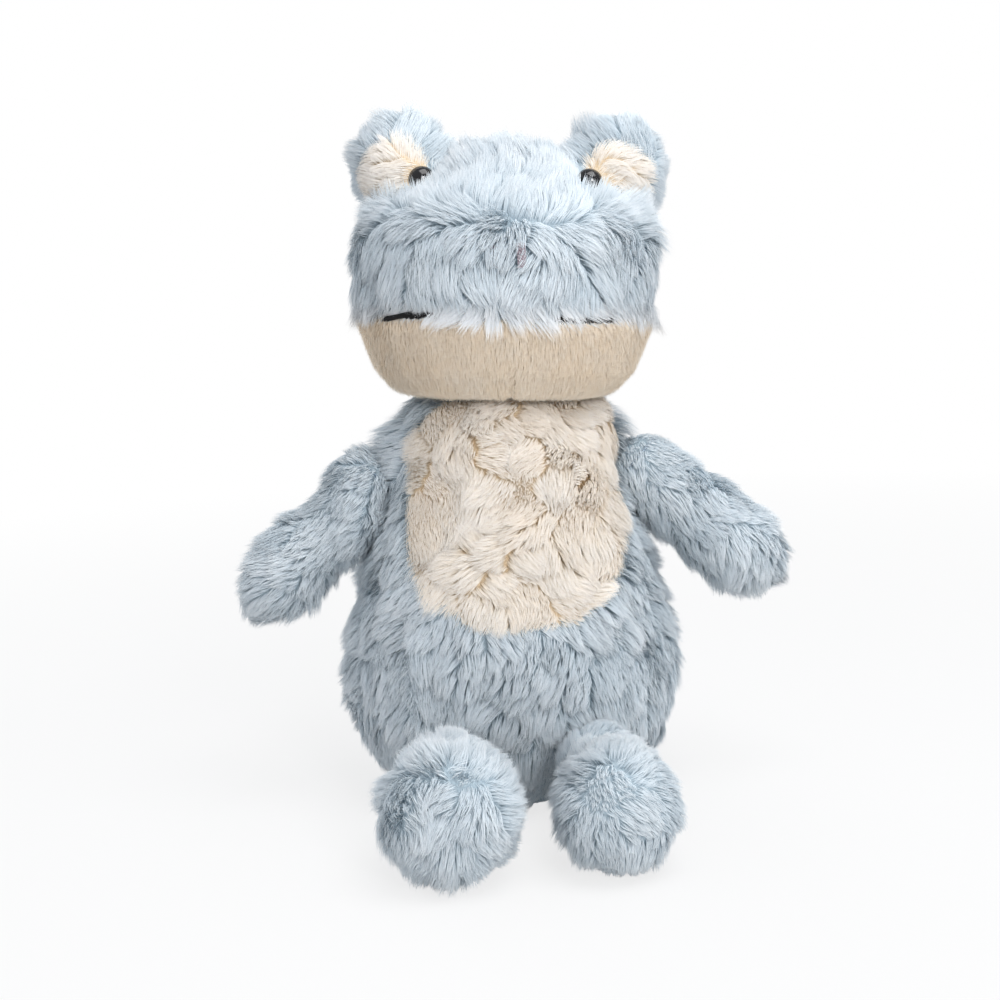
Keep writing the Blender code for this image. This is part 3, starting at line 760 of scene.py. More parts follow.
class FurTree(Tree):
    """Grows strands in locks and tufts on a skin."""

    NAME = "fur_coat"
    INPUTS = tuple((label(f.name), "NodeSocket" + f.type.title()) for f in fields(Pile))
    QUICK_SHARE = 0.35
    STEEPEST = 0.97
    TUFT_TINT = 0.55
    LOCK_TINT = 0.7
    TUFT_EDGE = 1.6
    BEND_RISE = 0.36
    BEND_RUN = 0.24
    TAPER = 0.55
    SKIN_NORMAL = 0.86
    TINT_LEAST = 0.03
    TINT_ROOM = 0.94
    TINT_ACROSS = 0.02
    LOWEST = (-10.0, -10.0, 0.2 * MM)

    def chance(self, shift: int, low: float = 0.0, high: float = 1.0) -> Socket:
        """Adds a random number for each point, by what is added to the seed."""
        return self.graph.random(low, high, self.graph.math("ADD", self.given["Seed"], float(shift)))

    def turned(self, vector: Socket, axis: Socket, angle: Socket) -> Socket:
        """Adds the turning of a vector about an axis."""
        inputs = {"Vector": vector, "Axis": axis, "Angle": angle}
        return self.graph.made("ShaderNodeVectorRotate", inputs, "Vector", rotation_type="AXIS_ANGLE")

    def sown(self, density: str, shift: int) -> tuple[Socket, Socket]:
        """Sows points over the skin.

        Args:
            density: The input that gives points per square metre.
            shift: What is added to the seed.

        Returns:
            The points and their normals.
        """
        amount = self.graph.named("fur_amount")
        node = self.graph.node("GeometryNodeDistributePointsOnFaces")
        self.graph.feed(node.inputs["Mesh"], self.given["Geometry"])
        self.graph.feed(node.inputs["Density"], self.graph.math("MULTIPLY", self.given[density], amount))
        self.graph.feed(node.inputs["Seed"], self.graph.math("ADD", self.given["Seed"], float(shift)))
        return node.outputs["Points"], node.outputs["Normal"]

    def reach(self, normal: Socket, swing: Socket, shift: int) -> tuple[Socket, Socket]:
        """Finds how far and which way a point's strand runs.

        Args:
            normal: The surface's normal at the points.
            swing: The most that the strand turns from the comb, in radians.
            shift: What is added to the seed.

        Returns:
            The way from root to tip, and the strand's length.
        """
        g = self.graph
        turn = g.math("MULTIPLY", self.chance(shift, -1.0), swing)
        flat = self.turned(g.named("fur_comb", "FLOAT_VECTOR"), normal, turn)
        uneven = g.math("MULTIPLY_ADD", self.chance(shift + 1, -1.0), self.given["Uneven"], 1.0)
        length = g.math("MULTIPLY", g.named("fur_length"), uneven)
        lift = g.math("MULTIPLY", g.named("fur_lift"), self.chance(shift + 2, 0.75, 1.25))
        lift = g.math("MINIMUM", lift, self.STEEPEST)
        lying = g.math("SQRT", g.math("SUBTRACT", 1.0, g.math("MULTIPLY", lift, lift)))
        rise = g.scaled(normal, g.math("MULTIPLY", length, lift))
        run = g.scaled(flat, g.math("MULTIPLY", length, lying))
        return g.vector("ADD", rise, run), length

    def nearest(self, points: Socket, name: str, kind: str = "FLOAT_VECTOR") -> Socket:
        """Reads an attribute of the nearest of some points.

        Args:
            points: The points to choose from.
            name: The attribute.
            kind: Its data type.

        Returns:
            The value at the nearest point.
        """
        g = self.graph
        place = g.made("GeometryNodeInputPosition", {})
        index = g.made("GeometryNodeSampleNearest", {"Geometry": points, "Sample Position": place}, "Index")
        inputs = {"Geometry": points, "Value": g.named(name, kind), "Index": index}
        return g.made("GeometryNodeSampleIndex", inputs, "Value", data_type=kind, domain="POINT")

    def tufts(self) -> Socket:
        """Sows the tufts, the largest groups of strands.

        Returns:
            The tufts' points, which hold their root, run, tip and tint.
        """
        g = self.graph
        place = g.made("GeometryNodeInputPosition", {})
        tufts, normal = self.sown("Tufts", 11)
        run, _ = self.reach(normal, self.given["Tuft Swing"], 21)
        tufts = g.stored(tufts, "clump_root", "FLOAT_VECTOR", place)
        tufts = g.stored(tufts, "clump_run", "FLOAT_VECTOR", run)
        tufts = g.stored(tufts, "clump_tip", "FLOAT_VECTOR", g.vector("ADD", place, run))
        return g.stored(tufts, "clump_tint", "FLOAT", self.chance(31))

    def locks(self, tufts: Socket) -> Socket:
        """Sows the locks, which lean towards their tuft's tip.

        Args:
            tufts: The tufts' points.

        Returns:
            The locks' points, which hold run, tip and tint.
        """
        g = self.graph
        place = g.made("GeometryNodeInputPosition", {})
        locks, normal = self.sown("Locks", 12)
        own, _ = self.reach(normal, self.given["Lock Swing"], 41)
        run = g.between(own, self.nearest(tufts, "clump_run"), self.given["Lean"])
        tip = g.vector("ADD", place, run)
        tip = g.between(tip, self.nearest(tufts, "clump_tip"), self.given["Tuft Pull"])
        tint = g.math("MULTIPLY", self.chance(51), 1.0 - self.TUFT_TINT)
        tint = g.math("MULTIPLY_ADD", self.nearest(tufts, "clump_tint", "FLOAT"), self.TUFT_TINT, tint)
        locks = g.stored(locks, "lock_run", "FLOAT_VECTOR", run)
        locks = g.stored(locks, "lock_tip", "FLOAT_VECTOR", tip)
        return g.stored(locks, "lock_tint", "FLOAT", tint)

    def fullness(self, root: Socket, tufts: Socket) -> Socket:
        """Finds the share of its length that a strand has: less at its tuft's edge, and by chance.

        Args:
            root: The strands' roots.
            tufts: The tufts' points.

        Returns:
            The share, from 0 to 1.
        """
        g = self.graph
        away = g.vector("SUBTRACT", root, self.nearest(tufts, "clump_root"))
        away = g.made("ShaderNodeVectorMath", {0: away, 1: away}, "Value", operation="DOT_PRODUCT")
        edge = g.math("MULTIPLY", away, g.math("MULTIPLY", self.given["Tufts"], self.TUFT_EDGE))
        edge = g.math("MINIMUM", edge, 1.0)
        full = g.math("SUBTRACT", 1.0, g.math("MULTIPLY", edge, self.given["Puff"]))
        fray = g.math("MULTIPLY", self.chance(74), self.given["Uneven"])
        return g.math("MULTIPLY", full, g.math("SUBTRACT", 1.0, fray))

    def strands(self, tufts: Socket, locks: Socket) -> Socket:
        """Sows the strands' roots, each with the line that its ribbon follows.

        Args:
            tufts: The tufts' points.
            locks: The locks' points.

        Returns:
            The strands' points, which hold all that bends a ribbon.
        """
        g = self.graph
        root = g.made("GeometryNodeInputPosition", {})
        strands, normal = self.sown("Strands", 13)
        own, length = self.reach(normal, self.given["Lock Swing"], 61)
        run = g.between(own, self.nearest(locks, "lock_run"), self.given["Lean"])
        tip = g.vector("ADD", root, run)
        tip = g.between(tip, self.nearest(locks, "lock_tip"), self.given["Lock Pull"])
        full = self.fullness(root, tufts)
        run = g.scaled(g.vector("SUBTRACT", tip, root), full)
        length = g.math("MULTIPLY", length, full)
        bend = g.vector("ADD", root, g.scaled(normal, g.math("MULTIPLY", length, self.BEND_RISE)))
        bend = g.vector("ADD", bend, g.scaled(run, self.BEND_RUN))
        side = g.vector("NORMALIZE", g.vector("CROSS_PRODUCT", run, normal))
        side = self.turned(side, run, g.math("MULTIPLY", self.chance(71, -1.0), self.given["Twist"]))
        thickness = g.math("MULTIPLY", self.given["Width"], self.chance(72, 0.7, 1.3))
        tint = g.math("MULTIPLY", self.nearest(locks, "lock_tint", "FLOAT"), self.LOCK_TINT)
        tint = g.math("MULTIPLY_ADD", self.chance(73), 1.0 - self.LOCK_TINT, tint)
        vectors = {
            "strand_root": root,
            "strand_bend": bend,
            "strand_tip": g.vector("ADD", root, run),
            "strand_side": g.scaled(side, thickness),
            "strand_normal": normal,
        }
        for name, value in vectors.items():
            strands = g.stored(strands, name, "FLOAT_VECTOR", value)
        return g.stored(strands, "strand_tint", "FLOAT", tint)

    def ribbon(self) -> Socket:
        """Makes one flat strand of unit size that narrows to a point.

        Returns:
            The ribbon's mesh.
        """
        g = self.graph
        rows = g.math("ADD", self.given["Segments"], 1.0)
        inputs = {"Size X": 1.0, "Size Y": 1.0, "Vertices X": 2, "Vertices Y": rows}
        ribbon = g.made("GeometryNodeMeshGrid", inputs, "Mesh")
        place = g.node("ShaderNodeSeparateXYZ")
        g.feed(place.inputs[0], g.made("GeometryNodeInputPosition", {}))
        along = g.math("ADD", place.outputs["Y"], 0.5)
        taper = g.math("POWER", g.math("MAXIMUM", g.math("SUBTRACT", 1.0, along), 0.0), self.TAPER)
        across = g.math("MULTIPLY", place.outputs["X"], taper)
        ribbon = g.stored(ribbon, "strand_across", "FLOAT", across)
        ribbon = g.stored(ribbon, "strand_along", "FLOAT", along)
        moved = g.made("ShaderNodeCombineXYZ", {"X": across, "Y": place.outputs["Y"]})
        ribbon = g.made("GeometryNodeSetPosition", {"Geometry": ribbon, "Position": moved})
        return g.made("GeometryNodeMergeByDistance", {"Geometry": ribbon, "Distance": 0.001})

    def bent(self, fur: Socket) -> Socket:
        """Bends every ribbon along its line, above the ground, and turns its normals to the skin's.

        Args:
            fur: The mesh of all ribbons.

        Returns:
            The same mesh, bent.
        """
        g = self.graph
        along = g.named("strand_along")
        root, bend, tip, side, normal = (
            g.named("strand_" + name, "FLOAT_VECTOR") for name in ("root", "bend", "tip", "side", "normal")
        )
        line = g.between(g.between(root, bend, along), g.between(bend, tip, along), along)
        wide = g.scaled(side, g.named("strand_across"))
        place = g.vector("MAXIMUM", g.vector("ADD", line, wide), self.LOWEST)
        fur = g.made("GeometryNodeSetPosition", {"Geometry": fur, "Position": place})
        facing = g.made("GeometryNodeInputNormal", {}, "Normal")
        facing = g.vector("NORMALIZE", g.between(facing, normal, self.SKIN_NORMAL))
        inputs = {"Mesh": fur, "Custom Normal": facing}
        return g.made("GeometryNodeSetMeshNormal", inputs, "Mesh", mode="FREE", domain="POINT")

    def build(self) -> Socket:
        """Sows tufts, locks and strands, and puts a bent ribbon on each strand's root.

        Returns:
            The mesh of all strands.
        """
        g = self.graph
        tufts = self.tufts()
        inputs = {"Points": self.strands(tufts, self.locks(tufts)), "Instance": self.ribbon()}
        fur = g.made("GeometryNodeInstanceOnPoints", inputs)
        fur = self.bent(g.made("GeometryNodeRealizeInstances", {"Geometry": fur}))
        tint = g.math("MULTIPLY_ADD", g.named("strand_tint"), self.TINT_ROOM, self.TINT_LEAST)
        tint = g.math("MULTIPLY_ADD", g.named("strand_across"), self.TINT_ACROSS, tint)
        uv = g.made("ShaderNodeCombineXYZ", {"X": tint, "Y": g.named("strand_along")})
        fur = g.stored(fur, STRAND_UV, "FLOAT2", uv, "CORNER")
        for name in ("strand_*", "fur_*"):
            inputs = {"Geometry": fur, "Name": name}
            fur = g.made("GeometryNodeRemoveAttribute", inputs, "Geometry", pattern_mode="WILDCARD")
        return fur

    def grown(self, skin: Skin, coat: Coat) -> Object:
        """Grows one piece of fur and lets it ride on its body.

        Args:
            skin: The skin that it grows on.
            coat: How it grows.

        Returns:
            The finished piece.
        """
        mesh = skin.obj.data.copy()
        mesh.materials.clear()
        for name in ("amount", "length", "lift"):
            values = mesh.attributes.new("fur_" + name, "FLOAT", "POINT").data
            values.foreach_set("value", getattr(coat, name).astype(np.float32))
        comb = mesh.attributes.new("fur_comb", "FLOAT_VECTOR", "POINT")
        comb.data.foreach_set("vector", coat.comb.astype(np.float32).ravel())
        settings = coat.pile.settings(1.0)
        made = self.run_on(mesh, settings | {"Material": coat.material}, coat.name)
        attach(made, coat.body)
        return made


# The parts of the toy


@dataclass
class Torso:
    """The body: a pear-shaped skin, long blue pile all round and a cream belly in front.

    Bands are measured in the toy's own frame, with x towards its left, or in degrees from its front.
    """

    finishes: Finishes
    voxel: float = 2.3 * MM
    smoothing: int = 6
    depth: float = 5.0 * MM
    seat_depth: float = 2.0 * MM
    seat_facing: Band = Band(0.75, 0.95)
    full_shoulder: Place = (38.0 * MM, -6.0 * MM, 132.0 * MM)
    full_armpit: Place = (-41.0 * MM, -6.0 * MM, 123.0 * MM)
    armpit_margin: float = 3.0 * MM
    shoulder_reach: Band = band_mm(20.0, 4.0)
    shoulder_rise: float = 4.0 * MM
    belly_border: Band = band_mm(-1.2, 1.2)
    belly_margin: float = 4.0 * MM
    belly_margin_share: float = 0.6
    belly_foot: Band = band_mm(75.0, 60.0)
    belly_wider: float = 4.5 * MM
    belly_left: Band = band_mm(8.0, 25.0)
    belly_corner: float = 6.0 * MM
    belly_middle: float = 2.0 * MM
    corner_across: Band = band_mm(16.0, 30.0)
    corner_height: Band = band_mm(84.0, 68.0)
    side_turn: Band = Band(42.0, 48.0)
    back_turn: Band = Band(132.0, 138.0)
    low: Band = band_mm(60.0, 15.0)
    down_tilt: Place = (0.35, 0.35, 0.0)
    swirl: Swirl = Swirl(20.0 * MM, 44.0, 3)
    pile_length: float = 9.2 * MM
    seat_length: float = 3.0 * MM
    length_wave: Wave = Wave(18.0 * MM, 0.14, 4)
    low_shorter: float = 0.16
    shoulder_longer: float = 0.45
    lift: float = 0.68
    lift_wave: Wave = Wave(16.0 * MM, 0.14, 5)
    low_flatter: float = 0.1
    shoulder_steeper: float = 0.15
    seat_flatter: float = 0.5
    pile: Pile = Pile(
        locks=0.18e6, lock_pull=0.58, lock_swing=32.0, tuft_pull=0.28, tuft_swing=38.0, lean=0.6, puff=0.5
    )
    belly_swirl: Swirl = Swirl(13.0 * MM, 85.0, 8)
    belly_length: float = 7.8 * MM
    belly_length_wave: Wave = Wave(14.0 * MM, 0.16, 9)
    belly_lift: float = 0.6
    belly_lift_wave: Wave = Wave(12.0 * MM, 0.14, 10)
    belly_pile: Pile = Pile(9.0e6, tufts=0.013e6, lean=0.7, puff=0.45, tuft_swing=40.0, seed=5)
    skin: Skin = field(init=False)

    def shape(self) -> Skin:
        """Makes the skin under the pile.

        Returns:
            The body's skin.
        """
        clouds = [np.vstack([cad_points("body_cover"), cad_points("belly_panel")])]
        self.skin = skin = skin_round("body_skin", clouds, self.voxel, self.smoothing)
        self.belly = self.belly_share()
        self.under = skin.eased(self.seat_facing.of(-skin.normals[:, 2]), 4)
        places = (self.full_shoulder, self.full_armpit)
        away = [np.linalg.norm(skin.points - np.array(place), axis=1) for place in places]
        self.shoulder = self.shoulder_reach.of(np.minimum(away[0], away[1] + self.armpit_margin))
        depth = self.depth + (self.seat_depth - self.depth) * self.under - self.shoulder_rise * self.shoulder
        skin.place(skin.points - skin.normals * depth[:, None])
        return skin

    def belly_share(self) -> Array:
        """How far each point belongs to the cream belly, from 0 to 1.

        Returns:
            One value for each point.
        """
        points = self.skin.points
        cream = distances(cad_tree(["belly_panel"]), points)
        blue = distances(cad_tree(["body_cover"]), points)
        foot = self.belly_foot.of(points[:, 2])
        wider = self.belly_wider * self.belly_left.of(points[:, 0]) * (1.0 - foot)
        corner = self.corner_across.of(np.abs(points[:, 0] - self.belly_middle))
        corner = self.belly_corner * corner * self.corner_height.of(points[:, 2])
        narrower = self.belly_margin * (foot - self.belly_margin_share)
        return self.belly_border.of(blue - cream - narrower + wider - corner)

    def comb(self) -> Array:
        """Lays the pile down the body, with swirls."""
        skin = self.skin
        return skin.swirled(skin.along(DOWN + skin.normals * np.array(self.down_tilt)), self.swirl)

    def sides(self) -> dict[str, Array]:
        """How far each point belongs to each side of the body, from 0 to 1.

        Returns:
            The values of each side, by its name.
        """
        turn = np.degrees(np.arctan2(self.skin.points[:, 0], -self.skin.points[:, 1]))
        left = self.side_turn.of(turn) * (1.0 - self.back_turn.of(turn))
        right = self.side_turn.of(-turn) * (1.0 - self.back_turn.of(-turn))
        back = self.back_turn.of(np.abs(turn))
        return {"front": 1.0 - left - right - back, "left": left, "right": right, "back": back}

    def coats(self, free: Array) -> list[Coat]:
        """Lists the body's pieces of fur.

        Args:
            free: Where no limb or head covers the skin, from 0 to 1.

        Returns:
            Four sides of blue pile, and the belly.
        """
        skin = self.skin
        blue = (1.0 - self.belly) * free
        comb = self.comb()
        low = self.low.of(skin.points[:, 2])
        longer = skin.waves(self.length_wave) + self.shoulder_longer * self.shoulder
        length = self.pile_length * (1.0 - self.low_shorter * low + longer)
        length = length + (self.seat_length - length) * self.under
        steeper = skin.waves(self.lift_wave) + self.shoulder_steeper * self.shoulder
        lift = self.lift - self.low_flatter * low + steeper
        lift = lift * (1.0 - self.seat_flatter * self.under)
        made = []
        for seed, (name, share) in enumerate(self.sides().items(), 1):
            name = "fur_body_" + name
            pile = replace(self.pile, seed=seed)
            amount = blue * share
            made.append(Coat(name, "torso", Slot.BLUE, self.finishes.blue, amount, length, comb, lift, pile))
        wild = skin.swirled(comb, self.belly_swirl)
        length = self.belly_length * (1.0 + skin.waves(self.belly_length_wave))
        lift = self.belly_lift + skin.waves(self.belly_lift_wave)
        pile = self.belly_pile
        amount = self.belly * free
        cream = self.finishes.cream
        made.append(Coat("fur_belly", "torso", Slot.CREAM, cream, amount, length, wild, lift, pile))
        return made


@dataclass
class Head:
    """The head: a wide muzzle over a short-haired jaw, with two eye bumps on its shoulders.

    Bands are measured in the head's own frame: across it, from front to back, or above the mouth.
    """

    finishes: Finishes
    neck: Place = (0.0, 0.0, 112.0 * MM)
    tilt: float = math.radians(3.0)
    mouth_height: float = 52.2 * MM
    recess_radius: float = 37.7 * MM
    recess_bare: Band = Band(0.2, 0.6)
    voxel: float = 2.0 * MM
    smoothing: int = 4
    muzzle_depth: float = 4.3 * MM
    jaw_depth: float = 2.6 * MM
    patch_depth: float = 3.0 * MM
    bump_depth: float = 3.6 * MM
    bump_shift: Place = (1.4 * MM, 0.0, 0.4 * MM)
    bump_shift_limits: tuple[float, float] = (-1.6 * MM, 3.0 * MM)
    border: Band = band_mm(-1.0, 1.0)
    patch_margin: float = 1.2 * MM
    outer_rim: float = 3.4 * MM
    eye_clearing: float = 5.0 * MM
    clearing_edge: float = 0.8 * MM
    clearing_reach: float = 8.0 * MM
    left_eye_wider: float = 2.2 * MM
    left_eye_inner: Band = band_mm(0.0, -4.0)
    right_eye_lower: float = 0.8 * MM
    right_eye_below: Band = band_mm(0.0, -3.0)
    nostril_shift: Place = (-2.4 * MM, 0.0, -1.4 * MM)
    nostril_half_width: float = 1.6 * MM
    nostril_half_height: float = 3.8 * MM
    nostril_rise: float = 0.6 * MM
    nostril_edge: Band = Band(0.8, 1.3)
    fan_shift: float = -3.5 * MM
    fan_reach: Band = band_mm(34.0, 6.0)
    fan_squash: float = 0.8
    fan_pull: float = 30.0
    fan_foot: Band = band_mm(3.0, 10.0)
    cheek_pull: float = 9.0
    cheek_top: Band = band_mm(30.0, 16.0)
    crown_start: Band = band_mm(20.0, 44.0)
    crown_face: Band = band_mm(14.0, 2.0)
    crown_back: float = 0.9
    parting_half: float = 8.0 * MM
    parting_pull: float = 0.4
    parting_eased: float = 0.9
    swirl: Swirl = Swirl(22.0 * MM, 34.0, 12)
    left_eye_under: Band = band_mm(11.0, 8.0)
    right_eye_under: Band = band_mm(14.0, 8.0)
    eye_below: Band = band_mm(1.0, -2.0)
    under_eye_outward: float = 0.15
    under_eye_forward: float = 0.2
    eye_near: Band = band_mm(17.0, 7.0)
    front: Band = band_mm(16.0, 4.0)
    high: Band = band_mm(26.0, 50.0)
    low: Band = band_mm(16.0, 3.0)
    muzzle_length: float = 10.0 * MM
    crown_length: float = 9.0 * MM
    lip_shorter: float = 3.0 * MM
    muzzle_wave: Wave = Wave(20.0 * MM, 0.14, 13)
    eye_shorter: float = 0.55
    wisp_lengths: tuple[float, float] = (4.6 * MM, 5.8 * MM)
    wisp_lift: float = 0.6
    wisp_sparser: float = 0.75
    left_side: Band = band_mm(30.0, 46.0)
    left_side_top: Band = band_mm(30.0, 20.0)
    left_side_shorter: float = 0.25
    muzzle_lift: float = 0.5
    muzzle_lift_wave: Wave = Wave(18.0 * MM, 0.10, 14)
    crown_lift: float = 0.3
    crown_lift_back: Band = band_mm(20.0, 8.0)
    parting_lift: float = 0.9
    muzzle_pile: Pile = Pile(tufts=0.018e6, lean=0.7, puff=0.25, tuft_swing=34.0)
    lip_top: Band = band_mm(8.0, 4.0)
    lip_foot: Band = band_mm(-3.0, 0.0)
    lip_front: Band = band_mm(26.0, 18.0)
    lip_length: float = 9.5 * MM
    lip_wave: Wave = Wave(6.0 * MM, 0.2, 21)
    lip_swirl: Swirl = Swirl(12.0 * MM, 30.0, 22)
    lip_right: tuple[Band, Band] = (band_mm(24.0, 28.0), band_mm(44.0, 40.5))
    lip_left: tuple[Band, Band] = (band_mm(9.0, 15.0), band_mm(41.0, 37.0))
    lip_left_share: float = 0.5
    lip_parted_shorter: float = 5.4 * MM
    lip_middle: Band = band_mm(22.0, 8.0)
    lip_middle_longer: float = 0.4 * MM
    lip_ends: Band = band_mm(40.0, 43.5)
    lip_ends_longer: float = 0.8 * MM
    lip_spread: Band = band_mm(2.0, 14.0)
    lip_outward: float = 0.55
    lip_forward: float = 0.2
    lip_lift: float = 0.42
    lip_ends_lift: float = 0.2
    lip_pile: Pile = Pile(7.5e6, tufts=0.05e6, lean=0.6, puff=0.2, tuft_swing=38.0, uneven=0.45, seed=13)
    jaw_length: float = 4.6 * MM
    jaw_lift: float = 0.62
    jaw_swirl: Swirl = Swirl(30.0 * MM, 14.0, 15)
    jaw_wave: Wave = Wave(15.0 * MM, 0.08, 16)
    jaw_crease: Band = band_mm(0.4, 1.6)
    jaw_crease_top: Band = band_mm(-16.0, -10.0)
    crease_length: float = 0.7
    crease_amount: float = 0.35
    jaw_pile: Pile = Pile(
        9.0e6,
        tufts=0.03e6,
        width=0.24 * MM,
        lock_pull=0.08,
        tuft_pull=0.04,
        lean=0.3,
        puff=0.06,
        tuft_swing=22.0,
        uneven=0.12,
        seed=14,
    )
    bump_length: float = 8.2 * MM
    bump_length_wave: Wave = Wave(12.0 * MM, 0.16, 18)
    bump_slant: float = 0.14
    left_bump_slant: float = 1.8
    bump_lift: float = 0.7
    bump_lift_wave: Wave = Wave(12.0 * MM, 0.12, 23)
    bump_comb: Place = (0.0, 0.5, 0.1)
    bump_away: float = 0.7
    bump_swirl: Swirl = Swirl(14.0 * MM, 40.0, 17)
    bump_pile: Pile = Pile(tufts=0.02e6, puff=0.3, seed=15)
    patch_length: float = 5.2 * MM
    patch_wave: Wave = Wave(10.0 * MM, 0.16, 19)
    patch_lift: float = 0.5
    patch_down: float = 0.35
    patch_swirl: Swirl = Swirl(10.0 * MM, 36.0, 24)
    patch_pile: Pile = Pile(7.5e6, tufts=0.03e6, width=0.24 * MM, puff=0.2, tuft_swing=45.0, seed=18)
    skin: Skin = field(init=False)

    def upright(self, points: Array) -> Array:
        """Points in the head's own upright frame, from the neck's middle."""
        turn = np.array(Matrix.Rotation(-self.tilt, 3, "Y"))
        return (points - np.array(self.neck)) @ turn.T

    def shape(self) -> Skin:
        """Makes the skin under the pile, hollow where the neck goes in.

        Returns:
            The head's skin.
        """
        clouds = [np.vstack([cad_points("head_cover"), cad_points("jaw_panel")])]
        for side in Side:
            names = ("eye_bump_cover_", "eye_patch_")
            clouds.append(np.vstack([cad_points(n + side.suffix) for n in names]))
        self.skin = skin = skin_round("head_skin", clouds, self.voxel, self.smoothing)
        self.share = self.shares()
        shift = np.clip(skin.normals @ np.array(self.bump_shift), *self.bump_shift_limits)
        depths: dict[str, float | Array] = {
            "head": self.muzzle_depth,
            "jaw": self.jaw_depth,
            "bump": self.bump_depth - shift,
            "patch": self.patch_depth,
        }
        depth = skin.eased(np.sum([self.share[n] * depths[n] for n in depths], axis=0), 4)
        moved = skin.points - skin.normals * depth[:, None]
        away_neck = moved - np.array(self.neck)
        far = np.linalg.norm(away_neck, axis=1)
        hollow = far < self.recess_radius
        moved[hollow] = np.array(self.neck) + away_neck[hollow] / far[hollow, None] * self.recess_radius
        skin.place(moved)
        self.hollow = skin.eased(hollow.astype(float), 2)
        self.own = self.upright(skin.points)
        self.above = self.own[:, 2] - self.mouth_height
        return skin

    def shares(self) -> dict[str, Array]:
        """How far each point belongs to the head's cover, the jaw, the bumps and the patches.

        Returns:
            The values of each part, by its name.
        """
        skin = self.skin
        groups = {
            "head": ["head_cover"],
            "jaw": ["jaw_panel"],
            "bump": ["eye_bump_cover_left", "eye_bump_cover_right"],
            "patch": ["eye_patch_left", "eye_patch_right"],
        }
        away = {name: distances(cad_tree(nodes), skin.points) for name, nodes in groups.items()}
        others = {n: np.min([away[m] for m in away if m != n], axis=0) for n in away}
        rim = self.patch_margin + self.outer_rim * skin.normals[:, 0] * (skin.points[:, 0] > 0.0)
        margin = {"patch": rim, "bump": -rim}
        share = {n: self.border.of(others[n] - away[n] - margin.get(n, 0.0)) for n in away}
        total = np.sum(list(share.values()), axis=0)
        return {n: v / np.maximum(total, TINY) for n, v in share.items()}

    def clearings(self) -> Array:
        """Where no strand grows, round the eyes and under the nostril: 0 there and 1 elsewhere.

        Returns:
            One value for each point.
        """
        points = self.skin.points
        grown = np.ones(len(points))
        for side in Side:
            away = points - box_middle("eye_" + side.suffix)
            if side is Side.LEFT:
                edge = self.eye_clearing + self.left_eye_wider * self.left_eye_inner.of(away[:, 0])
            else:
                edge = self.eye_clearing - self.right_eye_lower * self.right_eye_below.of(away[:, 2])
            ring = smoothstep(edge, edge + self.clearing_edge, np.hypot(away[:, 0], away[:, 2]))
            grown = np.where(away[:, 1] < self.clearing_reach, np.minimum(grown, ring), grown)
        away = points - box_middle("nostril_left") - np.array(self.nostril_shift)
        high = (away[:, 2] - self.nostril_rise) / self.nostril_half_height
        bar = self.nostril_edge.of(np.hypot(away[:, 0] / self.nostril_half_width, high))
        return np.where(away[:, 1] < self.clearing_reach, np.minimum(grown, bar), grown)

    def comb(self, front: Array) -> Array:
        """Lays the blue pile: back over the crown, down the face and together above the lip's middle.

        Args:
            front: How far each point is in front, from 0 to 1.

        Returns:
            Unit tangents.
        """
        skin, own, above = self.skin, self.own, self.above
        across = own[:, 0] - self.fan_shift
        near = self.fan_reach.of(np.hypot(across, self.fan_squash * above))
        direction = np.zeros_like(own)
        direction[:, 0] = -self.fan_pull * across * near * self.fan_foot.of(above)
        direction[:, 0] += self.cheek_pull * across * (1.0 - near) * self.cheek_top.of(above)
        self.crown = crown = self.crown_start.of(above)
        turn = math.pi * crown * self.crown_face.of(own[:, 1])
        outward = np.clip(across / self.parting_half, -1.0, 1.0)
        direction[:, 0] = direction[:, 0] * np.cos(turn) + self.parting_pull * outward * np.sin(turn)
        direction[:, 1] = (0.5 - front) * (1.0 - crown) + self.crown_back * crown
        direction[:, 2] = -np.cos(turn)
        self.parting = np.sin(turn) * (1.0 - self.parting_eased * np.abs(outward))
        return self.under_eye_comb(skin.swirled(skin.along(direction), self.swirl))

    def under_eye_comb(self, comb: Array) -> Array:
        """Lays the pile under each eye upwards, over the eye's lower edge.

        Args:
            comb: Unit tangents.

        Returns:
            Unit tangents.
        """
        skin = self.skin
        self.near_eyes = np.zeros(len(comb))
        self.under_eyes = np.zeros(len(comb))
        for side in Side:
            away = skin.points - box_middle("eye_" + side.suffix)
            far = np.linalg.norm(away, axis=1)
            under = self.left_eye_under if side is Side.LEFT else self.right_eye_under
            share = under.of(far) * self.eye_below.of(away[:, 2])
            up = np.array((self.under_eye_outward * side.value, -self.under_eye_forward, 1.0))
            up = skin.along(up)
            comb = skin.along(comb + (up - comb) * share[:, None])
            self.under_eyes = np.maximum(self.under_eyes, share)
            self.near_eyes = np.maximum(self.near_eyes, self.eye_near.of(far))
        return comb

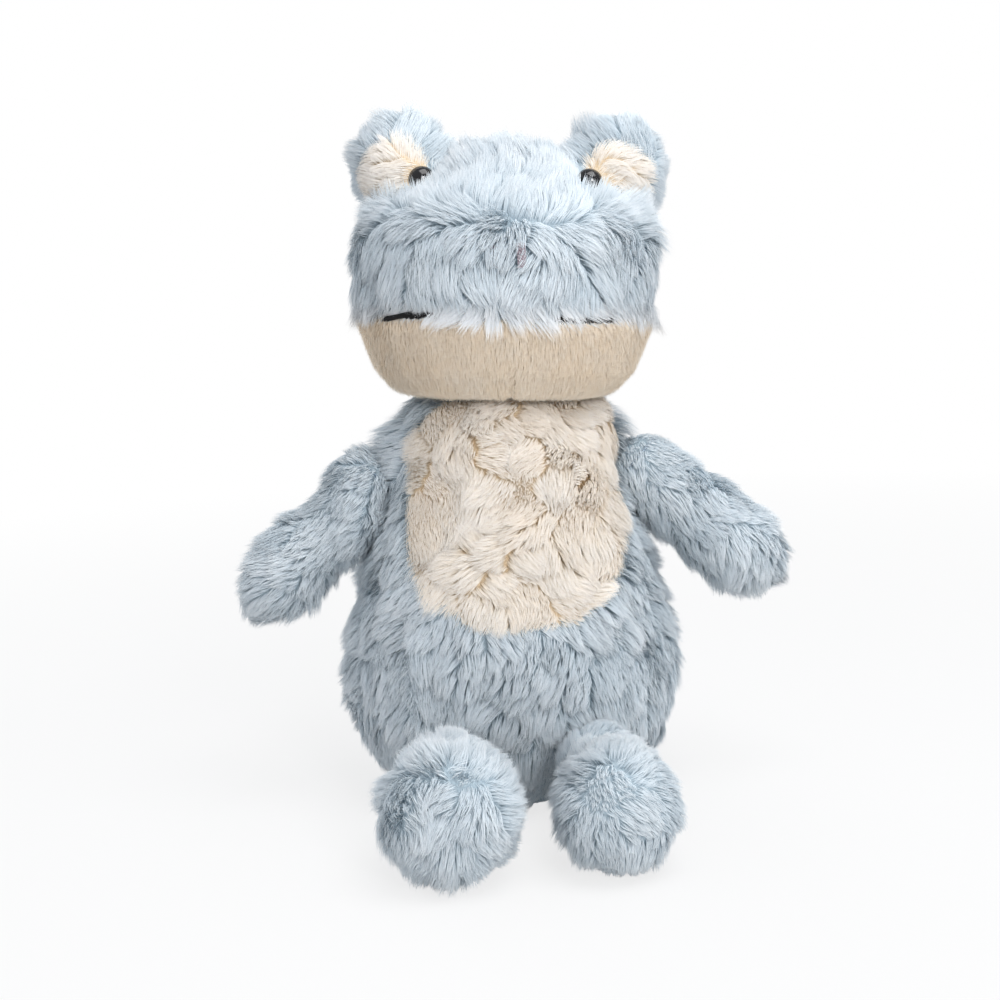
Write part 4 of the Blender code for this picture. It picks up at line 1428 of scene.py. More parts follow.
    def coats(self, free: Array) -> list[Coat]:
        """Lists the head's pieces of fur.

        Args:
            free: Where nothing covers the skin, from 0 to 1.

        Returns:
            The muzzle, the back, the lip's fringe, the jaw, the bumps and the patches.
        """
        own = self.own
        free = free * (1.0 - self.recess_bare.of(self.hollow)) * self.clearings()
        front = self.front.of(own[:, 1])
        comb = self.comb(front)
        length = self.blue_length(front)
        lift = self.blue_lift()
        blue = self.share["head"] * free * (1.0 - self.wisp_sparser * self.under_eyes)
        lip = self.lip_top.of(self.above) * self.lip_foot.of(self.above) * self.lip_front.of(own[:, 1])
        made = []
        for name, share, seed in (("muzzle", front, 11), ("head_back", 1.0 - front, 12)):
            pile = replace(self.muzzle_pile, seed=seed)
            amount = blue * share * (1.0 - lip)
            name = "fur_" + name
            made.append(Coat(name, "head", Slot.BLUE, self.finishes.blue, amount, length, comb, lift, pile))
        made.append(self.lip_coat(blue * lip))
        made.append(self.jaw_coat(self.share["jaw"] * free))
        for side in Side:
            made += self.side_coats(side)
        return made

    def blue_length(self, front: Array) -> Array:
        """How long the head's blue pile is.

        Args:
            front: How far each point is in front, from 0 to 1.

        Returns:
            The length at each point.
        """
        own, above = self.own, self.above
        length = self.muzzle_length + (self.crown_length - self.muzzle_length) * self.high.of(above)
        length = length - self.lip_shorter * self.low.of(above) * front
        length = length * (1.0 + self.skin.waves(self.muzzle_wave))
        length = length * (1.0 - self.eye_shorter * self.near_eyes)
        wisp = np.where(own[:, 0] > 0.0, *self.wisp_lengths)
        length = length + (wisp - length) * self.under_eyes
        side = self.left_side.of(own[:, 0]) * self.left_side_top.of(above)
        return length * (1.0 - self.left_side_shorter * side)

    def blue_lift(self) -> Array:
        """How steeply the head's blue pile stands.

        Returns:
            One value for each point.
        """
        crown = self.crown_lift * self.crown * self.crown_lift_back.of(self.own[:, 1])
        lift = self.muzzle_lift + self.skin.waves(self.muzzle_lift_wave) + crown
        lift = lift + (self.parting_lift - lift) * self.parting
        return lift + (self.wisp_lift - lift) * self.under_eyes

    def lip_coat(self, amount: Array) -> Coat:
        """Tells how the lip's whiskery fringe grows, short where the mouth's thread shows.

        Args:
            amount: Where it grows.

        Returns:
            The fringe.
        """
        skin, own = self.skin, self.own
        spread = np.abs(own[:, 0])
        right = self.lip_right[0].of(-own[:, 0]) * self.lip_right[1].of(-own[:, 0])
        left = self.lip_left[0].of(own[:, 0]) * self.lip_left[1].of(own[:, 0])
        parted = right + self.lip_left_share * left
        ends = self.lip_ends.of(spread)
        length = self.lip_length + self.lip_middle_longer * self.lip_middle.of(spread)
        length = length - self.lip_parted_shorter * parted + self.lip_ends_longer * ends
        length = length * (1.0 + skin.waves(self.lip_wave))
        direction = np.zeros_like(own)
        outward = self.lip_outward * np.sign(own[:, 0])
        direction[:, 0] = outward * self.lip_spread.of(spread) * (1.0 - ends)
        direction[:, 1] = -self.lip_forward * (1.0 - ends)
        direction[:, 2] = -1.0
        comb = skin.swirled(skin.along(direction), self.lip_swirl)
        lift = self.lip_lift + self.lip_ends_lift * (parted + ends)
        pile = self.lip_pile
        return Coat("fur_lip", "head", Slot.BLUE, self.finishes.fringe, amount, length, comb, lift, pile)

    def jaw_coat(self, amount: Array) -> Coat:
        """Tells how the jaw's short pile grows, thin along the crease under the chin.

        Args:
            amount: Where it grows.

        Returns:
            The jaw's coat.
        """
        skin = self.skin
        flat = skin.swirled(skin.along(DOWN), self.jaw_swirl)
        crease = self.jaw_crease.of(np.abs(self.own[:, 0]))
        crease = np.maximum(crease, self.jaw_crease_top.of(self.above))
        length = self.jaw_length * (1.0 + skin.waves(self.jaw_wave))
        length = length * (self.crease_length + (1.0 - self.crease_length) * crease)
        amount = amount * (self.crease_amount + (1.0 - self.crease_amount) * crease)
        lift = np.full(len(amount), self.jaw_lift)
        pile = self.jaw_pile
        return Coat("fur_jaw", "head", Slot.CREAM, self.finishes.jaw, amount, length, flat, lift, pile)

    def side_coats(self, side: Side) -> list[Coat]:
        """Tells how the blue pile of one eye bump and the cream pile of its patch grow.

        Args:
            side: Which bump it is.

        Returns:
            The bump's coat, and the patch's, which lies away from the eye.
        """
        skin = self.skin
        here = self.border.of(self.own[:, 0] * side.value) * self.clearings()
        around = unit(skin.points - box_middle("eye_patch_" + side.suffix))
        flat = skin.along(np.array(self.bump_comb) + self.bump_away * around)
        flat = skin.swirled(flat, self.bump_swirl)
        slant = skin.normals[:, 0]
        if side is Side.LEFT:
            slant = self.left_bump_slant * np.clip(-slant, 0.0, 1.0)
        length = self.bump_length * (1.0 + skin.waves(self.bump_length_wave) + self.bump_slant * slant)
        lift = self.bump_lift + skin.waves(self.bump_lift_wave)
        pile = replace(self.bump_pile, seed=self.bump_pile.seed + side.value)
        amount = self.share["bump"] * here
        name = "fur_bump_" + side.suffix
        bump = Coat(name, "head", Slot.BLUE, self.finishes.blue, amount, length, flat, lift, pile)

        outward = unit(skin.points - box_middle("eye_" + side.suffix))
        flat = skin.swirled(skin.along(outward + self.patch_down * DOWN), self.patch_swirl)
        length = self.patch_length * (1.0 + skin.waves(self.patch_wave))
        lift = np.full(len(here), self.patch_lift)
        pile = replace(self.patch_pile, seed=self.patch_pile.seed + side.value)
        amount = self.share["patch"] * here
        name = "fur_eye_patch_" + side.suffix
        patch = Coat(name, "head", Slot.CREAM, self.finishes.patch, amount, length, flat, lift, pile)
        return [bump, patch]


class LimbKind(Enum):
    """Arms or legs."""

    ARM = "arm"
    LEG = "leg"


@dataclass
class Limb:
    """An arm or a leg: a drawn-in root that swells to a round end.

    Bands along it are shares of its length from the joint.
    """

    finishes: Finishes
    kind: LimbKind
    side: Side
    pivot: Place
    voxel: float = 1.8 * MM
    smoothing: int = 4
    depth: float = 4.4 * MM
    lowered: float = 0.6 * MM
    wide: float = 0.0
    sole_depth: float = 2.0 * MM
    sole_facing: Band = Band(0.85, 0.97)
    sole_height: Band = band_mm(4.0, 1.0)
    root_drawn: Band = Band(0.10, 0.42)
    middle_part: tuple[Band, Band] = (Band(0.0, 0.18), Band(0.5, 0.25))
    middle_shift: Place = (0.0, 0.0, 0.0)
    end_part: Band = Band(0.3, 0.75)
    end_shift: Place = (0.0, 0.0, 0.0)
    round_end: Band = Band(0.62, 0.92)
    end_swirl: float = 0.7
    arm_down: float = 0.25
    leg_down: float = 0.3
    leg_swirl: Swirl = Swirl(24.0 * MM, 75.0, 4)
    swirl: Swirl = Swirl(14.0 * MM, 40.0, 0)
    pile_length: float = 8.6 * MM
    end_length: float = 8.0 * MM
    length_wave: Wave = Wave(16.0 * MM, 0.14, 1)
    sole_shorter: float = 0.65
    root: Band = Band(0.45, 0.12)
    root_top: Band = Band(-0.2, 0.6)
    root_shorter: float = 0.25
    outward: float = 0.0
    outward_part: Band = Band(0.4, 0.7)
    outward_rise: float = 8.0 * MM
    outward_least: float = -0.3
    lift: float = 0.64
    end_steeper: float = 0.1
    lift_wave: Wave = Wave(14.0 * MM, 0.14, 2)
    pile: Pile = Pile(
        locks=0.26e6,
        tufts=0.015e6,
        lock_pull=0.45,
        lean=0.58,
        puff=0.4,
        tuft_swing=36.0,
        lock_swing=28.0,
    )
    seed: int = FIRST_LIMB_SEED
    skin: Skin = field(init=False)
    axis: Array = field(init=False)
    reach: float = field(init=False)
    sole: Array = field(init=False)

    @property
    def name(self) -> str:
        """The limb's name with its side, which is also its CAD body's."""
        return f"{self.kind.value}_{self.side.suffix}"

    def node(self, part: str) -> str:
        """The name of one of the limb's CAD nodes."""
        return f"{self.kind.value}_{part}_{self.side.suffix}"

    def shape(self) -> Skin:
        """Makes the skin under the pile.

        Returns:
            The limb's skin.
        """
        clouds = [cad_points(self.node("cover"))]
        self.skin = skin = skin_round(self.name + "_skin", clouds, self.voxel, self.smoothing)
        middle = skin.points.mean(0) - np.array(self.pivot)
        self.axis = middle / np.linalg.norm(middle)
        reach = (skin.points - np.array(self.pivot)) @ self.axis
        self.reach = reach.max()
        flat = self.sole_facing.of(-skin.normals[:, 2]) * self.sole_height.of(skin.points[:, 2])
        self.sole = skin.eased(flat, 3)
        depth = self.depth + self.lowered * skin.normals[:, 2]
        depth = depth - self.wide * np.clip(skin.normals[:, 0] * self.side.value, 0.0, 1.0)
        depth = depth + (self.sole_depth - depth) * self.sole
        share = reach / self.reach
        depth = depth * self.root_drawn.of(share)
        middle = self.middle_part[0].of(share) * self.middle_part[1].of(share)
        moved = np.outer(middle, self.middle_shift) + np.outer(self.end_part.of(share), self.end_shift)
        skin.place(skin.points - skin.normals * depth[:, None] + moved)
        return skin

    def comb(self, end: Array) -> Array:
        """Lays the pile: along an arm, round its end, and back along a leg's top.

        Args:
            end: How far each point is on the round end, from 0 to 1.

        Returns:
            Unit tangents.
        """
        skin = self.skin
        if self.kind is LimbKind.LEG:
            back = skin.along(-self.axis + self.leg_down * DOWN)
            comb = skin.along(back + (DOWN - back) * end[:, None])
            comb = skin.swirled(comb, replace(self.leg_swirl, seed=self.seed + self.leg_swirl.seed))
        else:
            swirl = np.cross(self.axis, skin.normals)
            comb = skin.along(self.axis + swirl * (self.end_swirl * end)[:, None] + self.arm_down * DOWN)
        return skin.swirled(comb, replace(self.swirl, seed=self.seed))

    def coat(self, free: Array) -> Coat:
        """Tells how the limb's fur grows.

        Args:
            free: Where nothing covers the skin, from 0 to 1.

        Returns:
            The limb's coat.
        """
        skin = self.skin
        reach = (skin.points - np.array(self.pivot)) @ self.axis / self.reach
        end = self.round_end.of(reach)
        comb = self.comb(end)
        length = self.pile_length + (self.end_length - self.pile_length) * end
        length = length * (1.0 + skin.waves(replace(self.length_wave, seed=self.seed + 1)))
        length = length * (1.0 - self.sole_shorter * self.sole)
        root = self.root.of(reach) * self.root_top.of(skin.normals[:, 2])
        length = length * (1.0 - self.root_shorter * root)
        outward = np.clip(skin.normals[:, 0] * self.side.value, 0.0, 1.0) * self.outward_part.of(reach)
        height = (skin.points[:, 2] - skin.points[:, 2].mean()) / self.outward_rise
        length = length * (1.0 + self.outward * outward * np.clip(height, self.outward_least, 1.0))
        lift = self.lift + self.end_steeper * end
        lift = lift + skin.waves(replace(self.lift_wave, seed=self.seed + 2))
        pile = replace(self.pile, seed=self.seed)
        name = "fur_" + self.name
        return Coat(name, self.name, Slot.BLUE, self.finishes.blue, free, length, comb, lift, pile)


UNLIKE_LIMBS = {
    "arm_left": {"depth": 3.0 * MM, "lowered": -1.2 * MM, "end_shift": (1.0 * MM, 0.0, -0.5 * MM)},
    "arm_right": {
        "lowered": 1.0 * MM,
        "middle_shift": (3.0 * MM, 0.0, -3.0 * MM),
        "end_shift": (1.8 * MM, 0.0, -0.5 * MM),
    },
    "leg_left": {"depth": 5.2 * MM, "lowered": 2.0 * MM, "pile_length": 7.4 * MM, "end_length": 6.2 * MM},
    "leg_right": {"outward": 0.3, "wide": 3.0 * MM, "end_shift": (-0.6 * MM, 0.0, 0.0)},
}


# Thread


Stitch = tuple[Vector, Vector, Vector]


@dataclass
class Seam:
    """Stitches of one thread, each from one point to another, and the CAD nodes that they stand for."""

    name: str
    body: str
    slot: Slot
    material: Material
    nodes: tuple[str, ...]
    stitches: list[Stitch]
    radius: float = 0.35 * MM
    arch: float = 0.25 * MM


class StitchTree(Tree):
    """Draws a thread along each edge of a mesh, arched and thinner at both ends."""

    NAME = "stitches"
    INPUTS = (
        ("Thread Radius", "NodeSocketFloat"),
        ("Arch Height", "NodeSocketFloat"),
        ("Steps", "NodeSocketInt"),
    )
    STEPS = 6
    SIDES = 6
    THIN_END = 0.3

    def build(self) -> Socket:
        """Lays out the nodes that turn each edge into a thread.

        Returns:
            The mesh of all threads.
        """
        g = self.graph
        given = self.given
        lines = g.made("GeometryNodeMeshToCurve", {"Mesh": given["Geometry"]})
        lines = g.made("GeometryNodeResampleCurve", {"Curve": lines, "Count": given["Steps"]})
        along = g.made("GeometryNodeSplineParameter", {}, "Factor")
        middle = g.math("MULTIPLY", g.math("MULTIPLY", along, g.math("SUBTRACT", 1.0, along)), 4.0)
        rise = g.math("MULTIPLY", middle, given["Arch Height"])
        rise = g.scaled(g.named("stitch_up", "FLOAT_VECTOR"), rise)
        lines = g.made("GeometryNodeSetPosition", {"Geometry": lines, "Offset": rise})
        full = g.math("MULTIPLY_ADD", g.math("POWER", middle, 0.5), 1.0 - self.THIN_END, self.THIN_END)
        lines = g.made("GeometryNodeSetCurveRadius", {"Curve": lines, "Radius": full})
        inputs = {"Resolution": self.SIDES, "Radius": given["Thread Radius"]}
        thread = g.made("GeometryNodeCurvePrimitiveCircle", inputs)
        inputs = {"Curve": lines, "Profile Curve": thread, "Fill Caps": True}
        made = g.made("GeometryNodeCurveToMesh", inputs, "Mesh")
        return g.made("GeometryNodeRemoveAttribute", {"Geometry": made, "Name": "stitch_up"})

    def sewn(self, seam: Seam) -> Object:
        """Sews one thread's stitches.

        Args:
            seam: The thread.

        Returns:
            The finished piece.
        """
        mesh = bpy.data.meshes.new(seam.name)
        points = [p for first, last, _ in seam.stitches for p in (first, last)]
        ups = [list(up) for _, _, up in seam.stitches for _ in range(2)]
        edges = [(2 * i, 2 * i + 1) for i in range(len(seam.stitches))]
        mesh.from_pydata(points, edges, [])
        upward = mesh.attributes.new("stitch_up", "FLOAT_VECTOR", "POINT")
        upward.data.foreach_set("vector", np.array(ups, np.float32).ravel())
        settings = {"Thread Radius": seam.radius, "Arch Height": seam.arch, "Steps": self.STEPS}
        made = self.run_on(mesh, settings | {"Material": seam.material}, seam.name)
        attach(made, seam.body)
        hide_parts(*seam.nodes)
        return made


def ring_path(centre: Vector, axis: Vector, radius: float, points: int = 48) -> list[Vector]:
    """Points round a circle, the first one also at the end.

    Args:
        centre: Its middle.
        axis: Its axis.
        radius: Its radius.
        points: How many points.

    Returns:
        The points, in order.
    """
    turn = UP.rotation_difference(axis.normalized())
    steps = (2.0 * math.pi * i / points for i in range(points + 1))
    return [centre + turn @ Vector((math.cos(a), math.sin(a), 0.0)) * radius for a in steps]


def line_middle(name: str, steps: int, centre: Array) -> list[Vector]:
    """Finds the middle line of a CAD thread that bends round an upright axis.

    Args:
        name: The CAD node.
        steps: How many rings of points the thread has.
        centre: A point on the axis.

    Returns:
        The middle of each ring, from one end to the other.
    """
    points = np.unique(np.round(cad_points(name), 6), axis=0)
    away = points - centre
    order = np.argsort(np.arctan2(away[:, 0], -away[:, 1]))
    return [Vector(group.mean(0)) for group in np.array_split(points[order], steps)]


@dataclass(frozen=True)
class Row:
    """How stitches follow one another along a line on a skin."""

    spacing: float
    length: float
    slant: float
    proud: float

    def laid(self, path: Sequence[Vector], skin: Skin) -> list[Stitch]:
        """Lays the stitches.

        Args:
            path: The line, near the skin.
            skin: The skin that they lie on.

        Returns:
            The stitches.
        """
        tree = bvhtree.BVHTree.FromObject(skin.obj, bpy.context.evaluated_depsgraph_get())
        made = []
        gone = 0.0
        slant = math.radians(self.slant)
        for first, last in zip(path, path[1:]):
            away = last - first
            length = away.length
            while gone < length:
                at, normal, _, _ = tree.find_nearest(first + away * (gone / length))
                ahead = (away - normal * away.dot(normal)).normalized()
                run = ahead * math.cos(slant) + normal.cross(ahead) * math.sin(slant)
                middle = at + normal * self.proud
                half = run * (self.length / 2.0)
                made.append((middle - half, middle + half, normal))
                gone += self.spacing
            gone -= length
        return made


@dataclass
class Trim:
    """Thread on the toy: the mouth, the nostrils and the seams under the pile.

    The mouth's bands are measured across the head, in its own frame.
    """

    finishes: Finishes
    head: Head
    torso: Torso
    limbs: list[Limb]
    mouth_row: Row = Row(0.9 * MM, 3.4 * MM, 17.0, 1.5 * MM)
    nostril_row: Row = Row(0.45 * MM, 2.6 * MM, 90.0, 2.6 * MM)
    gathered_row: Row = Row(1.6 * MM, 2.6 * MM, 14.0, 0.15 * MM)
    ladder_row: Row = Row(2.2 * MM, 3.4 * MM, 62.0, 0.15 * MM)
    mouth_rings: int = 21
    mouth_radius: float = 0.75 * MM
    mouth_sunk: float = 1.9 * MM
    mouth_left: tuple[Band, Band] = (band_mm(8.0, 14.0), band_mm(37.0, 31.0))
    mouth_left_share: float = 0.8
    mouth_right: tuple[Band, Band] = (band_mm(23.0, 28.0), band_mm(43.0, 38.5))
    mouth_arch: float = 1.3 * MM
    mouth_arched: tuple[Band, Band] = (band_mm(40.0, 33.0), band_mm(20.0, 27.0))
    nostril_radius: float = 0.28 * MM
    nostril_arch: float = 0.7 * MM
    nostril_overrun: float = 1.6 * MM
    hidden_proud: float = 0.6 * MM
    neck_ring: float = 25.0 * MM
    limb_ring_points: int = 32
    closing_steps: int = 8

    def mouth(self) -> Seam:
        """The black line between muzzle and jaw, in rope stitch, sunk into the pile in places.

        Returns:
            The mouth's seam.
        """
        path = line_middle("mouth_line", self.mouth_rings, np.array(self.head.neck))
        laid = self.mouth_row.laid(path, self.head.skin)
        across = self.head.upright(np.array([first.lerp(last, 0.5) for first, last, _ in laid]))[:, 0]
        left = self.mouth_left[0].of(across) * self.mouth_left[1].of(across)
        right = self.mouth_right[0].of(-across) * self.mouth_right[1].of(-across)
        sunk = self.mouth_sunk * (1.0 - np.maximum(self.mouth_left_share * left, right))
        arch = self.mouth_arch * self.mouth_arched[0].of(-across) * self.mouth_arched[1].of(-across)
        moves = [UP * rise - up * depth for (_, _, up), rise, depth in zip(laid, arch, sunk)]
        stitches = [(a + move, b + move, up) for (a, b, up), move in zip(laid, moves)]
        thread = self.finishes.mouth
        return Seam("mouth_thread", "head", Slot.MOUTH, thread, ("mouth_line",), stitches, self.mouth_radius)

    def nostrils(self) -> list[Seam]:
        """Two short upright bars of taupe satin stitches, the right one under the pile.

        Returns:
            One seam for each side.
        """
        made = []
        thread = self.finishes.nose
        for side in Side:
            node = "nostril_" + side.suffix
            low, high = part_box(node)
            middle = (low + high) / 2.0 + Vector(self.head.nostril_shift)
            half = UP * ((high.z - low.z) / 2.0 + self.nostril_overrun)
            row = self.nostril_row
            if side is Side.RIGHT:
                row = replace(row, proud=self.hidden_proud)
            stitches = row.laid([middle - half, middle, middle + half], self.head.skin)
            seam = Seam(node + "_stitches", "head", Slot.NOSE, thread, (node,), stitches)
            made.append(replace(seam, radius=self.nostril_radius, arch=self.nostril_arch))
        return made

    def seams(self) -> list[Seam]:
        """The gathered neck, the limbs' roots and the closed slit in the back.

        Returns:
            The seams of the neck, the limbs and the back.
        """
        thread = self.finishes.thread
        path = ring_path(Vector(self.head.neck) + UP * self.neck_ring, UP, self.neck_ring)
        stitches = self.gathered_row.laid(path, self.torso.skin)
        made = [Seam("neck_stitches", "neck", Slot.THREAD, thread, ("neck_seam",), stitches)]
        for limb in self.limbs:
            node = limb.node("seam")
            low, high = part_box(node)
            radius = max(high - low) / 2.0
            path = ring_path((low + high) / 2.0, Vector(limb.axis), radius, self.limb_ring_points)
            stitches = self.gathered_row.laid(path, limb.skin)
            made.append(Seam(limb.name + "_stitches", limb.name, Slot.THREAD, thread, (node,), stitches))
        low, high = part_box("closing_seam")
        foot = Vector((low.x, high.y, low.z))
        path = [foot.lerp(high, i / self.closing_steps) for i in range(self.closing_steps + 1)]
        stitches = self.ladder_row.laid(path, self.torso.skin)
        made.append(Seam("closing_stitches", "torso", Slot.THREAD, thread, ("closing_seam",), stitches))
        return made

    def build(self) -> None:
        """Sews every thread."""
        tree = StitchTree()
        for seam in [self.mouth(), *self.nostrils(), *self.seams()]:
            tree.sewn(seam)


@dataclass(frozen=True)
class Filling:
    """What is stuffed into the skins: lumps of fibre, and pellets in the seat."""

    space: float = 1.5 * MM
    lumps: float = 0.7 * MM
    lump_size: float = 9.0 * MM
    pellet_height: float = 30.0 * MM

    def inner(self, skin: Skin, name: str, seed: int) -> Skin:
        """Makes a lumpy form just inside a skin.

        Args:
            skin: The skin.
            name: The form's name.
            seed: Which noise makes the lumps.

        Returns:
            The form.
        """
        mesh = skin.obj.data.copy()
        mesh.name = name
        form = Skin(plain_object(name, mesh))
        depth = self.space + self.lumps * (1.0 + form.waves(Wave(self.lump_size, 1.0, seed)))
        form.place(form.points - form.normals * depth[:, None])
        return form

    def cut(self, obj: Object, above: bool) -> None:
        """Keeps what lies above or below the pellets' height, closed again.

        Args:
            obj: The piece to cut.
            above: Whether the upper part is kept.
        """
        shape = bmesh.new()
        shape.from_mesh(obj.data)
        everything = [*shape.verts, *shape.edges, *shape.faces]
        level = {"plane_co": UP * self.pellet_height, "plane_no": UP}
        side = {"clear_inner": above, "clear_outer": not above}
        result = bmesh.ops.bisect_plane(shape, geom=everything, **level, **side)
        rim = [e for e in result["geom_cut"] if isinstance(e, bmesh.types.BMEdge)]
        bmesh.ops.contextual_create(shape, geom=rim)
        bmesh.ops.recalc_face_normals(shape, faces=shape.faces)
        shape.to_mesh(obj.data)
        shape.free()

    def stuffed(
        self, skin: Skin, name: str, body: str, nodes: Sequence[str], cloth: Material
    ) -> Object:
        """Fills one skin.

        Args:
            skin: The skin.
            name: The filling's name.
            body: The CAD body that it rides on.
            nodes: The CAD nodes that it stands for.
            cloth: Its finish.

        Returns:
            The finished piece.
        """
        obj = self.inner(skin, name, len(name)).obj
        obj.data.materials.clear()
        obj.data.materials.append(cloth)
        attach(obj, body)
        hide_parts(*nodes)
        return obj

    def build(self, finishes: Finishes, torso: Skin, head: Skin, limbs: Sequence[Limb]) -> None:
        """Fills every skin.

        Args:
            finishes: Every finish.
            torso: The body's skin.
            head: The head's skin.
            limbs: The arms and legs.
        """
        fibre = finishes.stuffing
        upper = self.stuffed(torso, "body_fibre", "torso", ["body_stuffing"], fibre)
        self.cut(upper, True)
        lower = self.stuffed(torso, "pellet_sack", "torso", ["pellet_bag"], finishes.pellets)
        self.cut(lower, False)
        nodes = ["head_stuffing"] + ["eye_bump_stuffing_" + s.suffix for s in Side]
        self.stuffed(head, "head_fibre", "head", nodes, fibre)
        for limb in limbs:
            self.stuffed(limb.skin, limb.name + "_fibre", limb.name, [limb.node("stuffing")], fibre)


@dataclass(frozen=True)
class SafetyEye:
    """A glossy black dome with a rim, on a ribbed shank that its washer grips.

    The rim's corners are given outwards from the dome's edge and down from it.
    """

    side: Side
    radius: float = 4.5 * MM
    dome: float = 3.6 * MM
    dome_steps: int = 12
    steps: int = 48
    rim: tuple[tuple[float, float], ...] = ((0.12 * MM, 0.15 * MM), (0.0, 0.45 * MM), (-0.6 * MM, 0.6 * MM))
    back: float = 0.7 * MM
    shank: float = 1.6 * MM
    groove: float = 1.35 * MM
    first_rib: float = 1.0 * MM
    rib: float = 0.6 * MM
    tip: tuple[tuple[float, float], ...] = ((1.3 * MM, 0.1 * MM), (0.9 * MM, 0.0), (0.0, 0.0))
    proud: float = 1.6 * MM
    inward: float = 0.0

    def profile(self, top: float, tail: float) -> list[tuple[float, float]]:
        """Draws half of the eye's outline.

        Args:
            top: Height of the dome's top along the eye's axis.
            tail: Height of the shank's end.

        Returns:
            Radius and height of each corner, from the top to the end.
        """
        base = top - self.dome
        corners = [(0.0, top)]
        for i in range(1, self.dome_steps + 1):
            angle = math.radians(90.0 - 90.0 / self.dome_steps * i)
            corners.append((self.radius * math.cos(angle), base + self.dome * math.sin(angle)))
        corners += [(self.radius + out, base - down) for out, down in self.rim]
        corners.append((self.shank, base - self.back))
        height = base - self.first_rib
        while height > tail + self.rib:
            corners += [(self.shank, height), (self.groove, height - self.rib / 2.0)]
            height -= self.rib
        return corners + [(radius, tail + above) for radius, above in self.tip]

    def lathed(self, name: str, profile: Sequence[tuple[float, float]], turn: Matrix) -> Mesh:
        """Turns an outline into a closed mesh.

        Args:
            name: The mesh's name.
            profile: Radius and height of each corner.
            turn: Where the eye sits, and which way its axis points.

        Returns:
            The mesh.
        """
        shape = bmesh.new()
        rings = []
        for radius, height in profile:
            count = self.steps if radius else 1
            angles = (2.0 * math.pi * k / self.steps for k in range(count))
            ring = [Vector((radius * math.cos(a), radius * math.sin(a), height)) for a in angles]
            rings.append([shape.verts.new(turn @ p) for p in ring])
        for first, second in zip(rings, rings[1:]):
            for k in range(self.steps):
                after = (k + 1) % self.steps
                if len(first) == 1:
                    shape.faces.new((first[0], second[k], second[after]))
                elif len(second) == 1:
                    shape.faces.new((first[k], second[0], first[after]))
                else:
                    shape.faces.new((first[k], second[k], second[after], first[after]))
        bmesh.ops.recalc_face_normals(shape, faces=shape.faces)
        mesh = bpy.data.meshes.new(name)
        shape.to_mesh(mesh)
        shape.free()
        mesh.polygons.foreach_set("use_smooth", [True] * len(mesh.polygons))
        return mesh

    def build(self, finishes: Finishes) -> Object:
        """Turns the eye on its own axis, which runs through its washer.

        Args:
            finishes: The toy's finishes.

        Returns:
            The finished piece.
        """
        name = "eye_" + self.side.suffix
        points = np.unique(np.round(cad_points(name), 6), axis=0)
        washer = np.unique(np.round(cad_points("eye_washer_" + self.side.suffix), 6), axis=0)
        middle = points.mean(0) - np.array((self.inward * self.side.value, 0.0, 0.0))
        axis = Vector(points.mean(0) - washer.mean(0)).normalized()
        heights = (points - middle) @ np.array(axis)
        profile = self.profile(float(heights.max()) + self.proud, float(heights.min()))
        turn = Matrix.Translation(middle) @ UP.rotation_difference(axis).to_matrix().to_4x4()
        mesh = self.lathed("safety_" + name, profile, turn)
        mesh.materials.append(finishes.black)
        made = plain_object("safety_" + name, mesh)
        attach(made, "head")
        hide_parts(name)
        return made


def panelled(skin: Skin, cloths: Sequence[Material], second: Array) -> None:
    """Cuts a skin from one or two cloths.

    Args:
        skin: The skin.
        cloths: Its cloths.
        second: How far each point belongs to the second cloth, from 0 to 1.
    """
    mesh = skin.obj.data
    mesh.materials.clear()
    for cloth in cloths:
        mesh.materials.append(cloth)
    for face in mesh.polygons:
        share = sum(second[i] for i in face.vertices) / len(face.vertices)
        face.material_index = int(share > 0.5)


def dressed_skin(skin: Skin, body: str, nodes: Sequence[str]) -> None:
    """Lets a skin ride on its body and stand for its CAD covers.

    Args:
        skin: The skin.
        body: The CAD body that it rides on.
        nodes: The CAD nodes that it stands for.
    """
    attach(skin.obj, body)
    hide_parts(*nodes)


@dataclass(frozen=True)
class Lamp:
    """A soft square lamp: its place, the side of its face in metres and its power in watts."""

    name: str
    place: Place
    size: float
    power: float

    def hang(self, aim: Sequence[float]) -> None:
        """Hangs the lamp so that it points at what it lights.

        Args:
            aim: The point that it lights, in metres.
        """
        data = bpy.data.lights.new(self.name, "AREA")
        data.shape = "SQUARE"
        data.size = self.size
        data.energy = self.power
        obj = bpy.data.objects.new(self.name, data)
        toward = Vector(aim) - Vector(self.place)
        obj.location = self.place
        obj.rotation_euler = toward.to_track_quat("-Z", "Y").to_euler()
        bpy.context.scene.collection.objects.link(obj)


